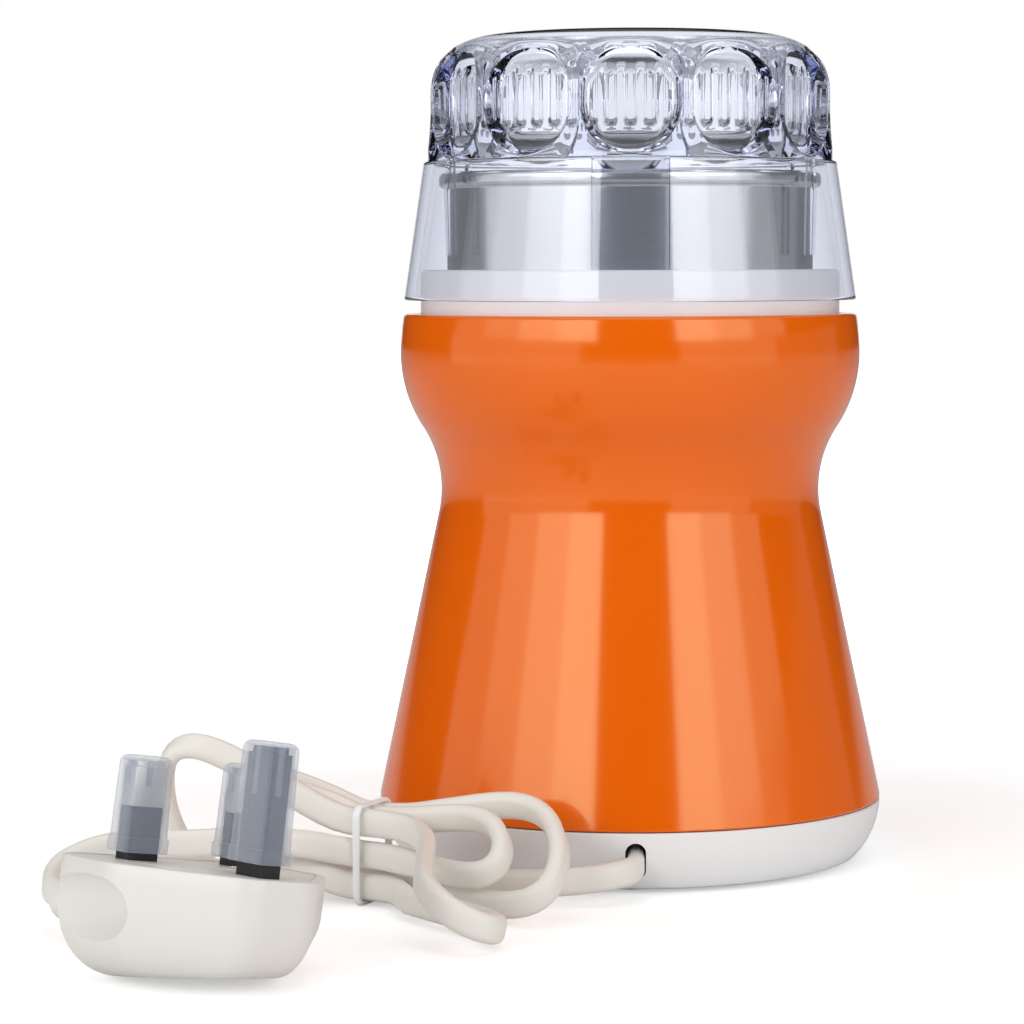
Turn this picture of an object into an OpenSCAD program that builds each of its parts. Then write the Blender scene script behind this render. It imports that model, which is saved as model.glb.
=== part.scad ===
// Electric coffee grinder with a press-down clear lid, a steel cup and a flat mains lead.
// Units are millimetres. The origin is the middle of the base on the table and +Z is up.
// The lead leaves the base on the -Y side.

/* [Body] */
// Diameter of the body at its seam with the base
body_d = 107.5; // [105:0.5:111]
// Height of the seam above the table
seam_z = 13.4; // [12.8:0.2:14.4]
// How far the waist draws in from the bulge
waist_in = 8.6; // [7:0.1:9]
// How far the waist lies under the top edge of the shell
waist_drop = 37.3; // [36.1:0.1:39]
// How far the bulge stands out past the collar
bulge_out = 4.3; // [3.8:0.1:5.3]
// How far the widest point of the bulge lies under the top edge of the shell
bulge_drop = 8.3; // [6.6:0.1:9.6]
// Height of the top edge of the shell
body_h = 116.6; // [115.6:0.2:118.6]
// Curve radius under the bulge
bulge_low_r = 29; // [26:0.5:32]
// Curve radius over the bulge
bulge_top_r = 48; // [42:1:60]
// Wall of the shell
shell_wall = 2.4; // [2:0.1:2.6]

/* [Base] */
// Radius of the curved lower edge of the base
base_edge_r = 17; // [16:0.5:20]
// Thickness of the base floor
base_floor = 2.4; // [2:0.1:3]
// Thickness of the base wall
base_wall = 4; // [3.6:0.1:4.6]
// How far the rubber feet stand proud
foot_proud = 0.8; // [0.6:0.1:1.2]
// Diameter of a rubber foot
foot_d = 10; // [8:0.5:12]
// How far the feet lie in from the edge of the base
foot_in = 14.75; // [13.75:0.25:17.75]
// How far the base screws lie in from the edge of the base
base_screw_in = 11.75; // [10.75:0.25:12.75]
// Number of slots in the vent ring
vent_count = 12; // [8:1:14]

/* [Collar and cup] */
// Width of the collar round the cup
collar_w = 5.7; // [5.5:0.1:6]
// Height of the collar above the shell
collar_h = 9.2; // [8.6:0.2:10]
// Outer diameter of the cup wall
cup_d = 78; // [76:0.2:78.4]
// Thickness of the cup wall
cup_wall = 0.7; // [0.6:0.1:1]
// Height of the cup rim above the collar
rim_rise = 20.4; // [18:0.2:21]
// Height of the rolled rim
rim_h = 3; // [2.4:0.1:3.4]
// How far the rolled rim stands out of the cup wall
rim_out = 1.7; // [1.2:0.1:1.8]
// Depth of the cup
cup_depth = 40.3; // [38.5:0.1:40.5]

/* [Lid] */
// Gap between the shell and the lid at rest
lid_gap = 2.9; // [2.7:0.1:3.4]
// How far the skirt flares out from the crown to the lower edge
lid_flare = 5; // [4.8:0.1:5.6]
// How far the foot of the crown lies outside the rim of the cup
crown_gap = 2.5; // [2.3:0.1:2.9]
// Wall of the skirt
lid_wall = 2.15; // [1.9:0.05:2.3]
// Height of the skirt
skirt_h = 29.2; // [29:0.1:31]
// Height of the lid
lid_h = 56.5; // [55.8:0.1:58.5]
// Radius of the shoulder
shoulder_r = 13; // [11.5:0.5:13]
// Number of thumb hollows
hollow_count = 12; // [10:1:12]
// Width of a thumb hollow as a share of its pitch
hollow_share = 0.849; // [0.75:0.001:0.86]
// Depth of a thumb hollow
hollow_depth = 3.8; // [3:0.1:4]
// Width of the tongue that works the switch
tongue_w = 15.6; // [12:0.2:16]
// How far the lid presses down
press_travel = 2.2; // [1.8:0.1:2.3]

/* [Blade] */
// Gap between the blade's tips and the wall of the cup
blade_gap = 5.3; // [3.5:0.1:10]
// Thickness of the blade
blade_t = 1.6; // [1.2:0.1:2]
// Width of the blade
blade_w = 12; // [10:0.5:14]

/* [Motor] */
// Diameter of the motor shaft
shaft_d = 6; // [5:0.2:6.4]
// Height of the lamination stack, for a standard body
pack_h = 20; // [18:0.5:21]
// Length of the field stack across the poles, for a standard waist
stack_y = 56; // [54:1:58]
// Width of the field stack, for a standard waist
stack_x = 60; // [59:1:62]
// Diameter of the rotor, for a standard waist
core_d = 31; // [30:0.2:31.4]
// Diameter of the cooling fan, for a standard waist
blower_d = 41; // [36:0.5:42]
// Number of fan vanes
fan_vanes = 11; // [7:1:13]

/* [Lead and plug] */
// Width of the flat lead
cord_w = 5.6; // [5.2:0.1:5.8]
// Thickness of the flat lead
cord_t = 3.5; // [3.2:0.1:3.6]
// Spacing of the live and neutral pins
pin_gap = 22.2; // [22:0.1:22.4]
// Distance from the live and neutral pins to the earth pin
pin_drop = 22.2; // [22:0.1:22.4]
// Depth of the plug behind its face
plug_depth = 18; // [17.4:0.1:18.2]
// Wall of the pin caps
cap_wall = 0.9; // [0.8:0.1:1.2]

/* [Hidden] */
$fn = 64;

// Small overlap that joins solids of one piece
eps = 0.05;
// Gap between pieces that are set into each other
fit = 0.2;
// Radial clearance of a turning shaft
run = 0.05;

// Diameters from the cup outward, and heights from the top edge of the shell down
collar_d = cup_d + 2 * collar_w;
bulge_d = collar_d + 2 * bulge_out;
waist_d = bulge_d - 2 * waist_in;
bulge_z = body_h - bulge_drop;
waist_z = body_h - waist_drop;
crown_d = cup_d + 2 * (rim_out + crown_gap);
lid_d = crown_d + 2 * lid_flare;
hollow_w = hollow_share * PI * crown_d / hollow_count;
blade_d = cup_d - 2 * (cup_wall + blade_gap);
foot_ring = body_d / 2 - foot_in;
base_screw_ring = body_d / 2 - base_screw_in;

// Motor against the standard one: stout across the waist and tall from base to bracket
stout = waist_d / 80.8;
stator_y = stack_y * stout;
stator_x = stack_x * stout;
rotor_d = core_d * stout;
fan_d = blower_d * stout;
frame_r = 31 * stout;
mount_ring = 27 * stout;

// Curves of the shell
half_dr = (bulge_d - waist_d) / 2;
half_dz = bulge_z - waist_z;
waist_r = (half_dr * half_dr + half_dz * half_dz) / (2 * half_dr) - bulge_low_r;
waist_c = [waist_d / 2 + waist_r, waist_z];
bulge_c = [bulge_d / 2 - bulge_low_r, bulge_z];
bulge_top_c = [bulge_d / 2 - bulge_top_r, bulge_z];
join_a = atan2(bulge_c.y - waist_c.y, bulge_c.x - waist_c.x);
foot_to_c = waist_c - [body_d / 2, seam_z];
cone_a = atan2(foot_to_c.y, foot_to_c.x) + asin(waist_r / norm(foot_to_c));
shell_lip = 2.4;
edge_r = 0.9;
top_a = asin((body_h - edge_r - bulge_z) / bulge_top_r);
top_r = bulge_top_c.x + bulge_top_r * cos(top_a);

// Heights from the table up to the collar
base_top = seam_z - 0.25;
floor_top = foot_proud + base_floor;
collar_top = body_h + collar_h;
collar_plate = 2.2;
ring_wall = 1.6;
tub_wall = 1.4;
tub_r = cup_d / 2 + 0.4;
ring_in = collar_d / 2 - ring_wall;
rim_top = collar_top + rim_rise;
cup_floor = rim_top - cup_depth;
cup_under = cup_floor - cup_wall;
tub_top = cup_under - fit;
tub_floor = tub_top - 2.6;

// Lid heights and radii
lid_z = body_h + lid_gap;
ledge_z = lid_z + skirt_h;
lid_top = lid_z + lid_h;
crown_rise = 0.8;
// Step from the crown to the top of the skirt
ledge_step = 0.8;
skirt_r = crown_d / 2 + ledge_step;
shoulder_c = [crown_d / 2 - shoulder_r, lid_top - crown_rise - shoulder_r];
crown_foot = [crown_d / 2, ledge_z];
foot_to_s = shoulder_c - crown_foot;
crown_a = atan2(foot_to_s.y, foot_to_s.x) - asin(shoulder_r / norm(foot_to_s));
crown_lean = 1 / tan(180 - crown_a);
hollow_low = ledge_z + 5.5;
hollow_high = lid_top - 10.4;
hollow_mid = ledge_z + 10.9;
hollow_round = hollow_w / 2;
tongue_r = ring_in - 1.9;
tongue_t = 1.5;
tongue_low = collar_top - 4;

// Slider, switch and spring
pusher_top = tongue_low - 0.1;
arm_top = tub_floor - fit;
arm_t = 4.2;
arm_low = arm_top - arm_t;
plate_top = tub_floor - 9;
plate_t = 3;
plate_low = plate_top - plate_t;
spring_d = 6;
spring_seat = 2.6;
switch_x = 20;
switch_y = 6.4;
switch_h = 10;
switch_front = -(waist_d / 2 - shell_wall - 1.8);
switch_back = switch_front + switch_y;
switch_top = plate_low + 1;
switch_low = switch_top - switch_h;
switch_mid = (switch_front + switch_back) / 2;
spring_y = switch_back + 5.3;
lever_x = -8;
lever_z = switch_top + 0.9;
lever_lift = 13.3;
nub_x = 4;
nub_low = lever_z + (nub_x - lever_x) * tan(lever_lift) + 0.8;
button_x = -2;
button_top = lever_z + (button_x - lever_x) * tan(lever_lift) - 0.3;

// Motor heights, hung from the upper bracket
shaft_r = shaft_d / 2;
tall = (plate_low - floor_top) / 87.2;
stack_h = pack_h * tall;
hub_low = plate_low - 7 * tall;
stack_top = plate_low - 24.8 * tall;
stack_low = stack_top - stack_h;
leg_x = stator_x / 2 - 4;
leg_r = 4.2;
leg_bore = 1.6;
wind_h = 7 * tall;
comm_top = stack_low - wind_h - 0.6;
comm_h = 9.2 * tall;
comm_low = comm_top - comm_h;
comm_r = 10;
low_top = comm_low - 5.2 * tall;
low_t = 4 * tall;
low_low = low_top - low_t;
low_hub_top = comm_low - 0.8;
pad_h = 3 * tall;
fan_low = stack_top + wind_h + 1.4 * tall;
fan_h = hub_low - fan_low - 1.6 * tall;
spigot_r = 6;
spigot_top = cup_floor + 2.7;
seal_h = 1.2;
blade_low = spigot_top + seal_h + 3.2;
shaft_top = blade_low + blade_t + 3;
brush_z = comm_low + comm_h / 2;

// Lead outlet and clamp inside the base
slot_x = 1;
slot_z = 8;
slot_w = cord_t + 0.7;
clamp_y = -body_d / 2 + 14.75;
clamp_x = 7.4;
base_curve_c = [body_d / 2 - base_edge_r, base_top];
base_low_a = asin((base_top - foot_proud) / base_edge_r);
lip_h = 3;
lip_out = body_d / 2 - (lip_h + 0.3) / tan(180 - cone_a) - shell_wall - fit;

// Plug frame: middle between the live and neutral pins on the face, x to the earth pin, z out
plug_at = [-79.9, -125.5, 19.8];
plug_turn = [-9.3, -1.9, -50];
plug_x = [cos(plug_turn.z) * cos(plug_turn.y), sin(plug_turn.z) * cos(plug_turn.y), -sin(plug_turn.y)];
plug_y = [
    cos(plug_turn.z) * sin(plug_turn.y) * sin(plug_turn.x) - sin(plug_turn.z) * cos(plug_turn.x),
    sin(plug_turn.z) * sin(plug_turn.y) * sin(plug_turn.x) + cos(plug_turn.z) * cos(plug_turn.x),
    cos(plug_turn.y) * sin(plug_turn.x)];
plug_z = cross(plug_x, plug_y);
relief_z = -11;
relief_end = -40;
relief_bore = 8;
face_t = 1.5;
face_rim = 1.6;
pin_root = 7;
pin_x = 3.98;
pin_y = 6.35;
pin_h = 17.7;
sleeve_h = 9.5;
earth_x = 8;
earth_y = 4;
earth_h = 22.73;
cap_room = 0.3;
fuse_x = 10;
fuse_r = 3.175;
fuse_l = 25.4;
carrier_w = 9;
carrier_l = 27.2;
carrier_h = 9.6;

// Tied hank: place of the tie, slots of the runs in the tie, and the loops on both sides of it
tie_at = [-51.5, -57, 0];
tie_turn = -23;
tie_along = [cos(tie_turn), sin(tie_turn), 0];
tie_across = [sin(tie_turn), -cos(tie_turn), 0];
tie_w = 1.5;
tie_t = 0.8;
col_gap = cord_t + 0.75;
row_gap = cord_w + 0.8;
row_low = cord_w / 2 + 0.9;
// Each loop: from column and row, to column and row, reach, opening, way out, way open, sag
loops = [
    [[0, 0], [0, 2], 33, 6, [-0.97, 0.3, 0.2], [-0.1, 0.2, 1], 0],
    [[0, 2], [1, 0], 43, 12, [0.86, -0.52, 0.06], [0, 0.9, 0.44], 0],
    [[1, 0], [2, 2], 42, 13, [-0.97, 0.04, 0.25], [-0.1, -0.3, 1], 0],
    [[2, 2], [2, 0], 55, 8, [0.46, -0.88, 0.01], [-0.75, -0.4, 0.25], 11],
    [[2, 0], [1, 2], 26, 4, [-0.97, 0.1, 0.26], [-0.1, 0.45, 0.9], 0],
    [[1, 2], [2, 1], 33, 6.5, [0.86, -0.58, 0.02], [0, 0.85, 0.53], 0]];
loop_rings = 24;
// Part of a loop's reach in which a run turns from the tie's way to the loop's own
straight = 0.35;
// The same where a loop that sags leaves the tie
straight_out = 0.8;
edge_y = -body_d / 2;
base_route = [[slot_x, edge_y + 17.75, slot_z], [slot_x, edge_y + 7.75, slot_z],
              [slot_x, edge_y + 0.75, slot_z], [-0.5, edge_y - 4.75, 7.6], [-5.5, edge_y - 8.25, 6.4],
              [-14, -62.5, 5], [-26, -58.5, 4], [-38, -55.5, 3.8]];
plug_route = [[-58.5, -61.8, 11.2], [-65, -65.6, 13], [-75, -69, 14], [-87, -72, 14],
              [-101, -75.5, 14], [-109.4, -81, 11.5], [-111, -88.5, 8.8]];

// Plain helpers
function arc(c, r, a0, a1, n) =
    [for (i = [0:n]) c + r * [cos(a0 + (a1 - a0) * i / n), sin(a0 + (a1 - a0) * i / n)]];
function tail(p) = [for (i = [1:len(p) - 1]) p[i]];
function flip(p) = [for (i = [len(p) - 1:-1:0]) p[i]];
function unit(v) = v / norm(v);
function mix(a, b, t) = a + (b - a) * t;

module ring(r_in, r_out, z0, z1) {
    translate([0, 0, z0]) difference() {
        cylinder(h = z1 - z0, r = r_out);
        translate([0, 0, -1]) cylinder(h = z1 - z0 + 2, r = r_in);
    }
}

// Piece of a ring as wide as w, facing -Y
module ring_piece(r_in, r_out, z0, z1, w) {
    intersection() {
        ring(r_in, r_out, z0, z1);
        translate([-w / 2, -r_out - 1, z0 - 1]) cube([w, r_out + 1, z1 - z0 + 2]);
    }
}

module box(x0, x1, y0, y1, z0, z1) {
    translate([x0, y0, z0]) cube([x1 - x0, y1 - y0, z1 - z0]);
}

module round_rect(w, h, r) {
    square([w - 2 * r, h], center = true);
    square([w, h - 2 * r], center = true);
    for (x = [-1, 1], y = [-1, 1]) translate([x * (w / 2 - r), y * (h / 2 - r)]) circle(r = r);
}

// Screw along +Z with its head underneath, the head's upper face at z
module screw(x, y, z, head_r, head_h, r, length) {
    translate([x, y, z - head_h]) difference() {
        cylinder(h = head_h, r = head_r);
        for (a = [0, 90]) rotate(a) translate([-head_r * 0.6, -0.4, -1])
            cube([head_r * 1.2, 0.8, 1.8]);
    }
    translate([x, y, z - eps]) cylinder(h = length + eps, r = r);
}

// Swept tube: path points, width directions, section points
function tangent(p, i) =
    unit(p[min(i + 1, len(p) - 1)] - p[max(i - 1, 0)]);
function square_to(v, t) = unit(v - t * (v * t));
function sweep_ring(p, wide, i, sec) =
    let (t = tangent(p, i), w = square_to(wide[i], t), s = cross(t, w))
    [for (q = sec) p[i] + q.x * w + q.y * s];
function sweep_points(p, wide, sec, first, last) =
    [for (i = [first:last]) each sweep_ring(p, wide, i, sec)];
// Closed skin over rings of n points each
module skin(points, n) {
    m = len(points) / n;
    polyhedron(
        points = points,
        faces = concat(
            [[for (k = [0:n - 1]) k]],
            [[for (k = [n - 1:-1:0]) (m - 1) * n + k]],
            [for (i = [0:m - 2], k = [0:n - 1]) each [
                [i * n + k, (i + 1) * n + k, i * n + (k + 1) % n],
                [i * n + (k + 1) % n, (i + 1) * n + k, (i + 1) * n + (k + 1) % n]]]),
        convexity = 8);
}
module sweep_part(p, wide, sec, first, last) {
    skin(sweep_points(p, wide, sec, first, last), len(sec));
}
module sweep(p, wide, sec) {
    sweep_part(p, wide, sec, 0, len(p) - 1);
}
function round_section(r, n) = [for (k = [0:n - 1]) r * [cos(360 * k / n), sin(360 * k / n)]];
function spring_path(r, length, turns, per) =
    [for (i = [0:turns * per])
        [r * cos(360 * i / per), r * sin(360 * i / per), length * i / (turns * per)]];
module spring(outer_d, wire, length, turns) {
    p = spring_path((outer_d - wire) / 2, length - wire, turns, 12);
    translate([0, 0, wire / 2])
        sweep(p, [for (q = p) [0, 0, 1]], round_section(wire / 2, 6));
}

// Outer shell
shell_outer = concat(
    [[body_d / 2, seam_z]],
    arc(waist_c, waist_r, cone_a + 90, join_a, 12),
    tail(arc(bulge_c, bulge_low_r, join_a - 180, 0, 8)),
    tail(arc(bulge_top_c, bulge_top_r, 0, top_a, 3)),
    tail(arc([top_r - edge_r, body_h - edge_r], edge_r, 0, 90, 4)));
shell_lip_r = collar_d / 2 + 0.3;
shell_lip_z = body_h - shell_lip;
rib_end = body_d / 2 - 16 / tan(180 - cone_a) - shell_wall / 2;
shell_inner = concat(
    [for (p = shell_outer) if (p.y < shell_lip_z - 1.2) [p.x - shell_wall, p.y]],
    [[top_r - shell_wall + 0.3, shell_lip_z], [shell_lip_r, shell_lip_z], [shell_lip_r, body_h]]);

module housing_shell() {
    color([0.92, 0.37, 0.05]) {
        difference() {
            union() {
                rotate_extrude() polygon(concat(shell_outer, flip(shell_inner)));
                for (a = [45:90:315]) rotate(a) {
                    translate([base_screw_ring, 0, seam_z]) cylinder(h = 16, r = 3.8);
                    box(base_screw_ring, rib_end, -1.2, 1.2, seam_z + 4, seam_z + 16);
                }
            }
            for (a = [45:90:315]) rotate(a)
                translate([base_screw_ring, 0, seam_z - 1]) cylinder(h = 13, r = 1.5);
        }
    }
}

// Base cover
base_outer = arc(base_curve_c, base_edge_r, -base_low_a, 0, 10);
base_inner = concat(
    [for (p = base_outer) if (p.y > floor_top + 0.4) [p.x - base_wall, p.y]],
    [[lip_out - 1.5, base_top + lip_h], [lip_out, base_top + lip_h], [lip_out, base_top]]);
motor_seat = low_low - pad_h;

module base_cover() {
    color([0.93, 0.93, 0.91]) difference() {
        union() {
            rotate_extrude() polygon(concat(
                [[0, foot_proud]], base_outer, flip(base_inner),
                [[base_inner[0].x - 1.2, floor_top], [0, floor_top]]));
            ring(14.5, 18, floor_top - eps, motor_seat);
            for (a = [45:90:315]) rotate(a)
                translate([base_screw_ring, 0, floor_top - eps])
                    cylinder(h = base_top - floor_top + eps, r = 4.6);
            for (s = [-1, 1]) translate([slot_x + s * clamp_x, clamp_y, floor_top - eps])
                cylinder(h = slot_z + cord_w / 2 - floor_top, r = 2.8);
            box(slot_x - 2.6, slot_x + 2.6, clamp_y - 2.5, clamp_y + 2.5,
                floor_top - eps, slot_z - cord_w / 2 - 0.1);
        }
        for (a = [45:90:315]) rotate(a) translate([base_screw_ring, 0, 0]) {
            cylinder(h = base_top + 1, r = 1.7);
            cylinder(h = foot_proud + 4.2, r = 3.2);
        }
        for (a = [0:90:270]) rotate(a) translate([foot_ring, 0, 0])
            cylinder(h = foot_proud + 1.2, r = foot_d / 2 + 0.1);
        for (k = [0:vent_count - 1]) rotate(360 * (k + 0.5) / vent_count)
            translate([21, -1.3, 0]) cube([11, 2.6, floor_top + 1]);
        for (s = [-1, 1]) translate([slot_x + s * clamp_x, clamp_y, floor_top + 0.6])
            cylinder(h = 20, r = 1.2);
        translate([slot_x, -body_d / 2 + 8.75, slot_z]) rotate([90, 0, 0]) linear_extrude(14) {
            translate([0, (cord_w - cord_t) / 2]) circle(r = slot_w / 2);
            translate([0, -(cord_w - cord_t) / 2]) circle(r = slot_w / 2);
            square([slot_w, cord_w - cord_t], center = true);
        }
    }
}

module rubber_feet() {
    color([0.16, 0.16, 0.17]) for (a = [0:90:270]) rotate(a) translate([foot_ring, 0, 0]) {
        cylinder(h = foot_proud + 1.2, r = foot_d / 2);
    }
}

module base_screws() {
    color([0.7, 0.7, 0.72]) for (a = [45:90:315]) rotate(a)
        screw(base_screw_ring, 0, foot_proud + 4.2, 2.9, 2, 1.5, base_top - foot_proud + 4);
}

// Collar with the tub that holds the cup
module top_collar() {
    color([0.93, 0.91, 0.86]) difference() {
        union() {
            rotate_extrude() polygon(concat(
                [[tub_r, tub_floor], [tub_r, collar_top]],
                flip(arc([collar_d / 2 - 1.1, collar_top - 0.8], 0.8, 0, 90, 4)),
                [[collar_d / 2, shell_lip_z - 0.3], [top_r - shell_wall - 0.4, shell_lip_z - 0.3],
                 [top_r - shell_wall - 0.4, shell_lip_z - 2.6], [ring_in, shell_lip_z - 2.6],
                 [ring_in, collar_top - collar_plate], [tub_r + tub_wall, collar_top - collar_plate],
                 [tub_r + tub_wall, tub_floor]]));
            ring(12, tub_r + 0.3, tub_floor, tub_top);
            for (a = [90, 210, 330]) rotate(a) translate([mount_ring, 0, plate_top])
                cylinder(h = tub_floor - plate_top + eps, r = 4);
        }
        for (s = [0, 180]) rotate(s)
            ring_piece(tongue_r - 0.4, tongue_r + tongue_t + 0.3, collar_top - 3, collar_top + 1,
                       tongue_w + 0.8);
        for (a = [90, 210, 330]) rotate(a) translate([mount_ring, 0, plate_top - 1])
            cylinder(h = 9, r = 1.4);
    }
}

module mount_screws() {
    color([0.7, 0.7, 0.72]) for (a = [90, 210, 330]) rotate(a)
        screw(mount_ring, 0, plate_low, 2.8, 2, 1.4, plate_t + 7);
}

// Steel cup
module grinding_cup() {
    r = cup_d / 2;
    c = 9;
    color([0.78, 0.78, 0.8]) rotate_extrude() polygon(concat(
        [[spigot_r + 0.3, cup_under]],
        arc([r - c, cup_under + c], c, -90, 0, 6),
        [[r, rim_top - rim_h]],
        arc([r + rim_out - 0.8, rim_top - rim_h + 0.8], 0.8, -90, 0, 3),
        arc([r + rim_out - 1.2, rim_top - 1.2], 1.2, 0, 90, 4),
        arc([r - cup_wall + 0.8, rim_top - 0.8], 0.8, 90, 180, 3),
        flip(arc([r - c, cup_under + c], c - cup_wall, -90, 0, 6)),
        [[spigot_r + 0.3, cup_floor]]));
}

module cup_nut() {
    color([0.75, 0.75, 0.77]) translate([0, 0, cup_floor]) difference() {
        cylinder(h = 2.4, r = 10, $fn = 6);
        translate([0, 0, -1]) cylinder(h = 5, r = spigot_r);
    }
}

module shaft_seal() {
    color([0.12, 0.12, 0.13]) ring(shaft_r + run, spigot_r - 0.4, spigot_top, spigot_top + seal_h);
}

// Clear lid
function crown_r(z) = crown_foot.x - (z - ledge_z) * crown_lean;
lid_outer = concat(
    [[lid_d / 2 - 0.5, lid_z], [lid_d / 2, lid_z + 0.5], [skirt_r, ledge_z], crown_foot],
    arc(shoulder_c, shoulder_r, crown_a - 90, 90, 10),
    [for (t = [0.25:0.25:1]) [shoulder_c.x * (1 - t), lid_top - crown_rise * (1 - t) * (1 - t)]]);
roof_z = lid_top - 3.4;
cave_wall = hollow_depth + 2.3;
cave_round = 6;
cave_a = crown_a - 90;
lid_inner = concat(
    [[0, roof_z]],
    flip(arc([crown_r(roof_z - cave_round) - cave_wall - cave_round, roof_z - cave_round],
             cave_round, cave_a, 90, 6)),
    [[crown_foot.x - cave_wall, ledge_z], [skirt_r - lid_wall, ledge_z],
     [lid_d / 2 - lid_wall, lid_z]]);
hollow_floor_low = [crown_r(hollow_low) - hollow_depth, hollow_low];
hollow_floor_high = [crown_r(hollow_high) - hollow_depth, hollow_high];
hollow_cut = concat(
    [[lid_d, hollow_low - 5]],
    flip(arc(hollow_floor_low + [5, 0], 5, 180, 270, 6)),
    arc(hollow_floor_high + [5, 0], 5, 180, 90, 6),
    [[lid_d, hollow_high + 5]]);

module hollow_outline() {
    translate([0, -1.5]) circle(r = hollow_round);
    translate([0, 1.5]) circle(r = hollow_round);
    square([hollow_w, 3], center = true);
}

module lid_hollow() {
    intersection() {
        rotate_extrude() polygon(hollow_cut);
        translate([0, 0, hollow_mid]) rotate([90, 0, 0]) linear_extrude(lid_d) hollow_outline();
    }
}

module lid() {
    color([0.86, 0.89, 0.93, 0.45]) difference() {
        union() {
            rotate_extrude() polygon(concat(lid_outer, lid_inner));
            for (s = [0, 180]) rotate(s)
                ring_piece(tongue_r, tongue_r + tongue_t, tongue_low, ledge_z + 0.6, tongue_w);
            for (a = [60, 120, 240, 300]) rotate(a - 90)
                box(tongue_r, crown_d / 2 - 0.4, -0.8, 0.8, collar_top + press_travel + 0.8, ledge_z + 0.6);
        }
        for (k = [0:hollow_count - 1]) rotate(360 * k / hollow_count) lid_hollow();
    }
}

// Slider that carries the lid and works the switch
module press_pusher() {
    color([0.9, 0.9, 0.88]) difference() {
        union() {
            ring_piece(tongue_r, tongue_r + tongue_t, arm_low, pusher_top, tongue_w - 2);
            box(-4.5, 4.5, -tongue_r - 0.7, spring_y, arm_low, arm_top);
            translate([0, spring_y, arm_low]) cylinder(h = arm_t, r = 4.6);
            box(nub_x - 1.4, nub_x + 1.4, switch_mid - 1.4, switch_mid + 1.4, nub_low, arm_low + eps);
        }
        translate([0, spring_y, arm_low - 1]) cylinder(h = spring_seat + 1, r = spring_d / 2 + 0.3);
    }
}

module push_spring() {
    color([0.72, 0.72, 0.74]) translate([0, spring_y, plate_top])
        spring(spring_d, 0.7, arm_low + spring_seat - plate_top, 4);
}

module switch_body() {
    color([0.14, 0.14, 0.15]) difference() {
        union() {
            box(-switch_x / 2, switch_x / 2, switch_front, switch_back, switch_low, switch_top);
            box(lever_x - 1.6, lever_x - 0.9, switch_mid - 2, switch_mid + 2,
                switch_top - 1, lever_z + 0.5);
            for (x = [-7, 0, 7]) box(x - 1.6, x + 1.6, switch_mid - 0.4, switch_mid + 0.4,
                                     switch_low - 4, switch_low + 1);
        }
        for (x = [-4.8, 4.8]) translate([x, switch_front - 1, switch_low + 3])
            rotate([-90, 0, 0]) cylinder(h = switch_y + 2, r = 1.1);
        box(button_x - 1.1, button_x + 1.1, switch_mid - 1.6, switch_mid + 1.6,
            switch_top - 3, switch_top + 1);
    }
}

module switch_button() {
    color([0.75, 0.12, 0.1])
        box(button_x - 1, button_x + 1, switch_mid - 1.5, switch_mid + 1.5,
            switch_top - 1.4, button_top);
}

module switch_lever() {
    color([0.78, 0.78, 0.8]) translate([lever_x, switch_mid, lever_z]) rotate([0, -lever_lift, 0])
    {
        box(0, 15, -2, 2, 0, 0.4);
        rotate([90, 0, 0]) cylinder(h = 4, r = 0.7, center = true);
    }
}

module switch_screws() {
    color([0.7, 0.7, 0.72]) for (x = [-4.8, 4.8]) translate([x, switch_front + 0.3, switch_low + 3])
        rotate([-90, 0, 0]) cylinder(h = switch_y + 1.6, r = 1.1);
}

// Blade set
module blade() {
    half = blade_w / 2;
    color([0.82, 0.82, 0.84]) difference() {
        union() {
            for (s = [0, 180]) rotate(s) translate([0, 0, blade_low]) {
                linear_extrude(blade_t) polygon([
                    [0, -half], [blade_d * 0.3, -half * 0.8], [blade_d * 0.3, half * 0.8], [0, half]]);
                translate([blade_d * 0.3 - 0.2, 0, 0]) rotate([0, -18, 0]) linear_extrude(blade_t)
                    polygon([[0, -half * 0.8], [blade_d * 0.2, -half * 0.35],
                             [blade_d * 0.2, half * 0.5], [0, half * 0.8]]);
            }
        }
        translate([0, 0, blade_low - 1]) cylinder(h = blade_t + 2, r = shaft_r);
    }
}

module blade_hub() {
    color([0.75, 0.6, 0.3]) {
        ring(shaft_r, 6.6, blade_low - 2.8, blade_low);
    }
}

module blade_nut() {
    z = blade_low + blade_t;
    color([0.8, 0.8, 0.82]) difference() {
        union() {
            translate([0, 0, z]) cylinder(h = 3.2, r = 5.8, $fn = 6);
            intersection() {
                translate([0, 0, z + 0.4]) sphere(r = 4.6);
                translate([-10, -10, z + 1]) cube(20);
            }
        }
        translate([0, 0, z - 1]) cylinder(h = shaft_top - z + 1, r = shaft_r);
    }
}

// Motor
module motor_shaft() {
    color([0.7, 0.7, 0.72]) translate([0, 0, low_low + 1.4])
        cylinder(h = shaft_top - low_low - 1.4, r = shaft_r);
}

module slots_2d(w) {
    for (k = [0:11]) rotate(30 * k) translate([rotor_d / 2 - 8, -w / 2]) square([9, w]);
}

module rotor_core() {
    color([0.45, 0.46, 0.48]) translate([0, 0, stack_low]) linear_extrude(stack_h) difference() {
        circle(d = rotor_d);
        circle(r = shaft_r);
        slots_2d(2.6);
    }
}

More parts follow.
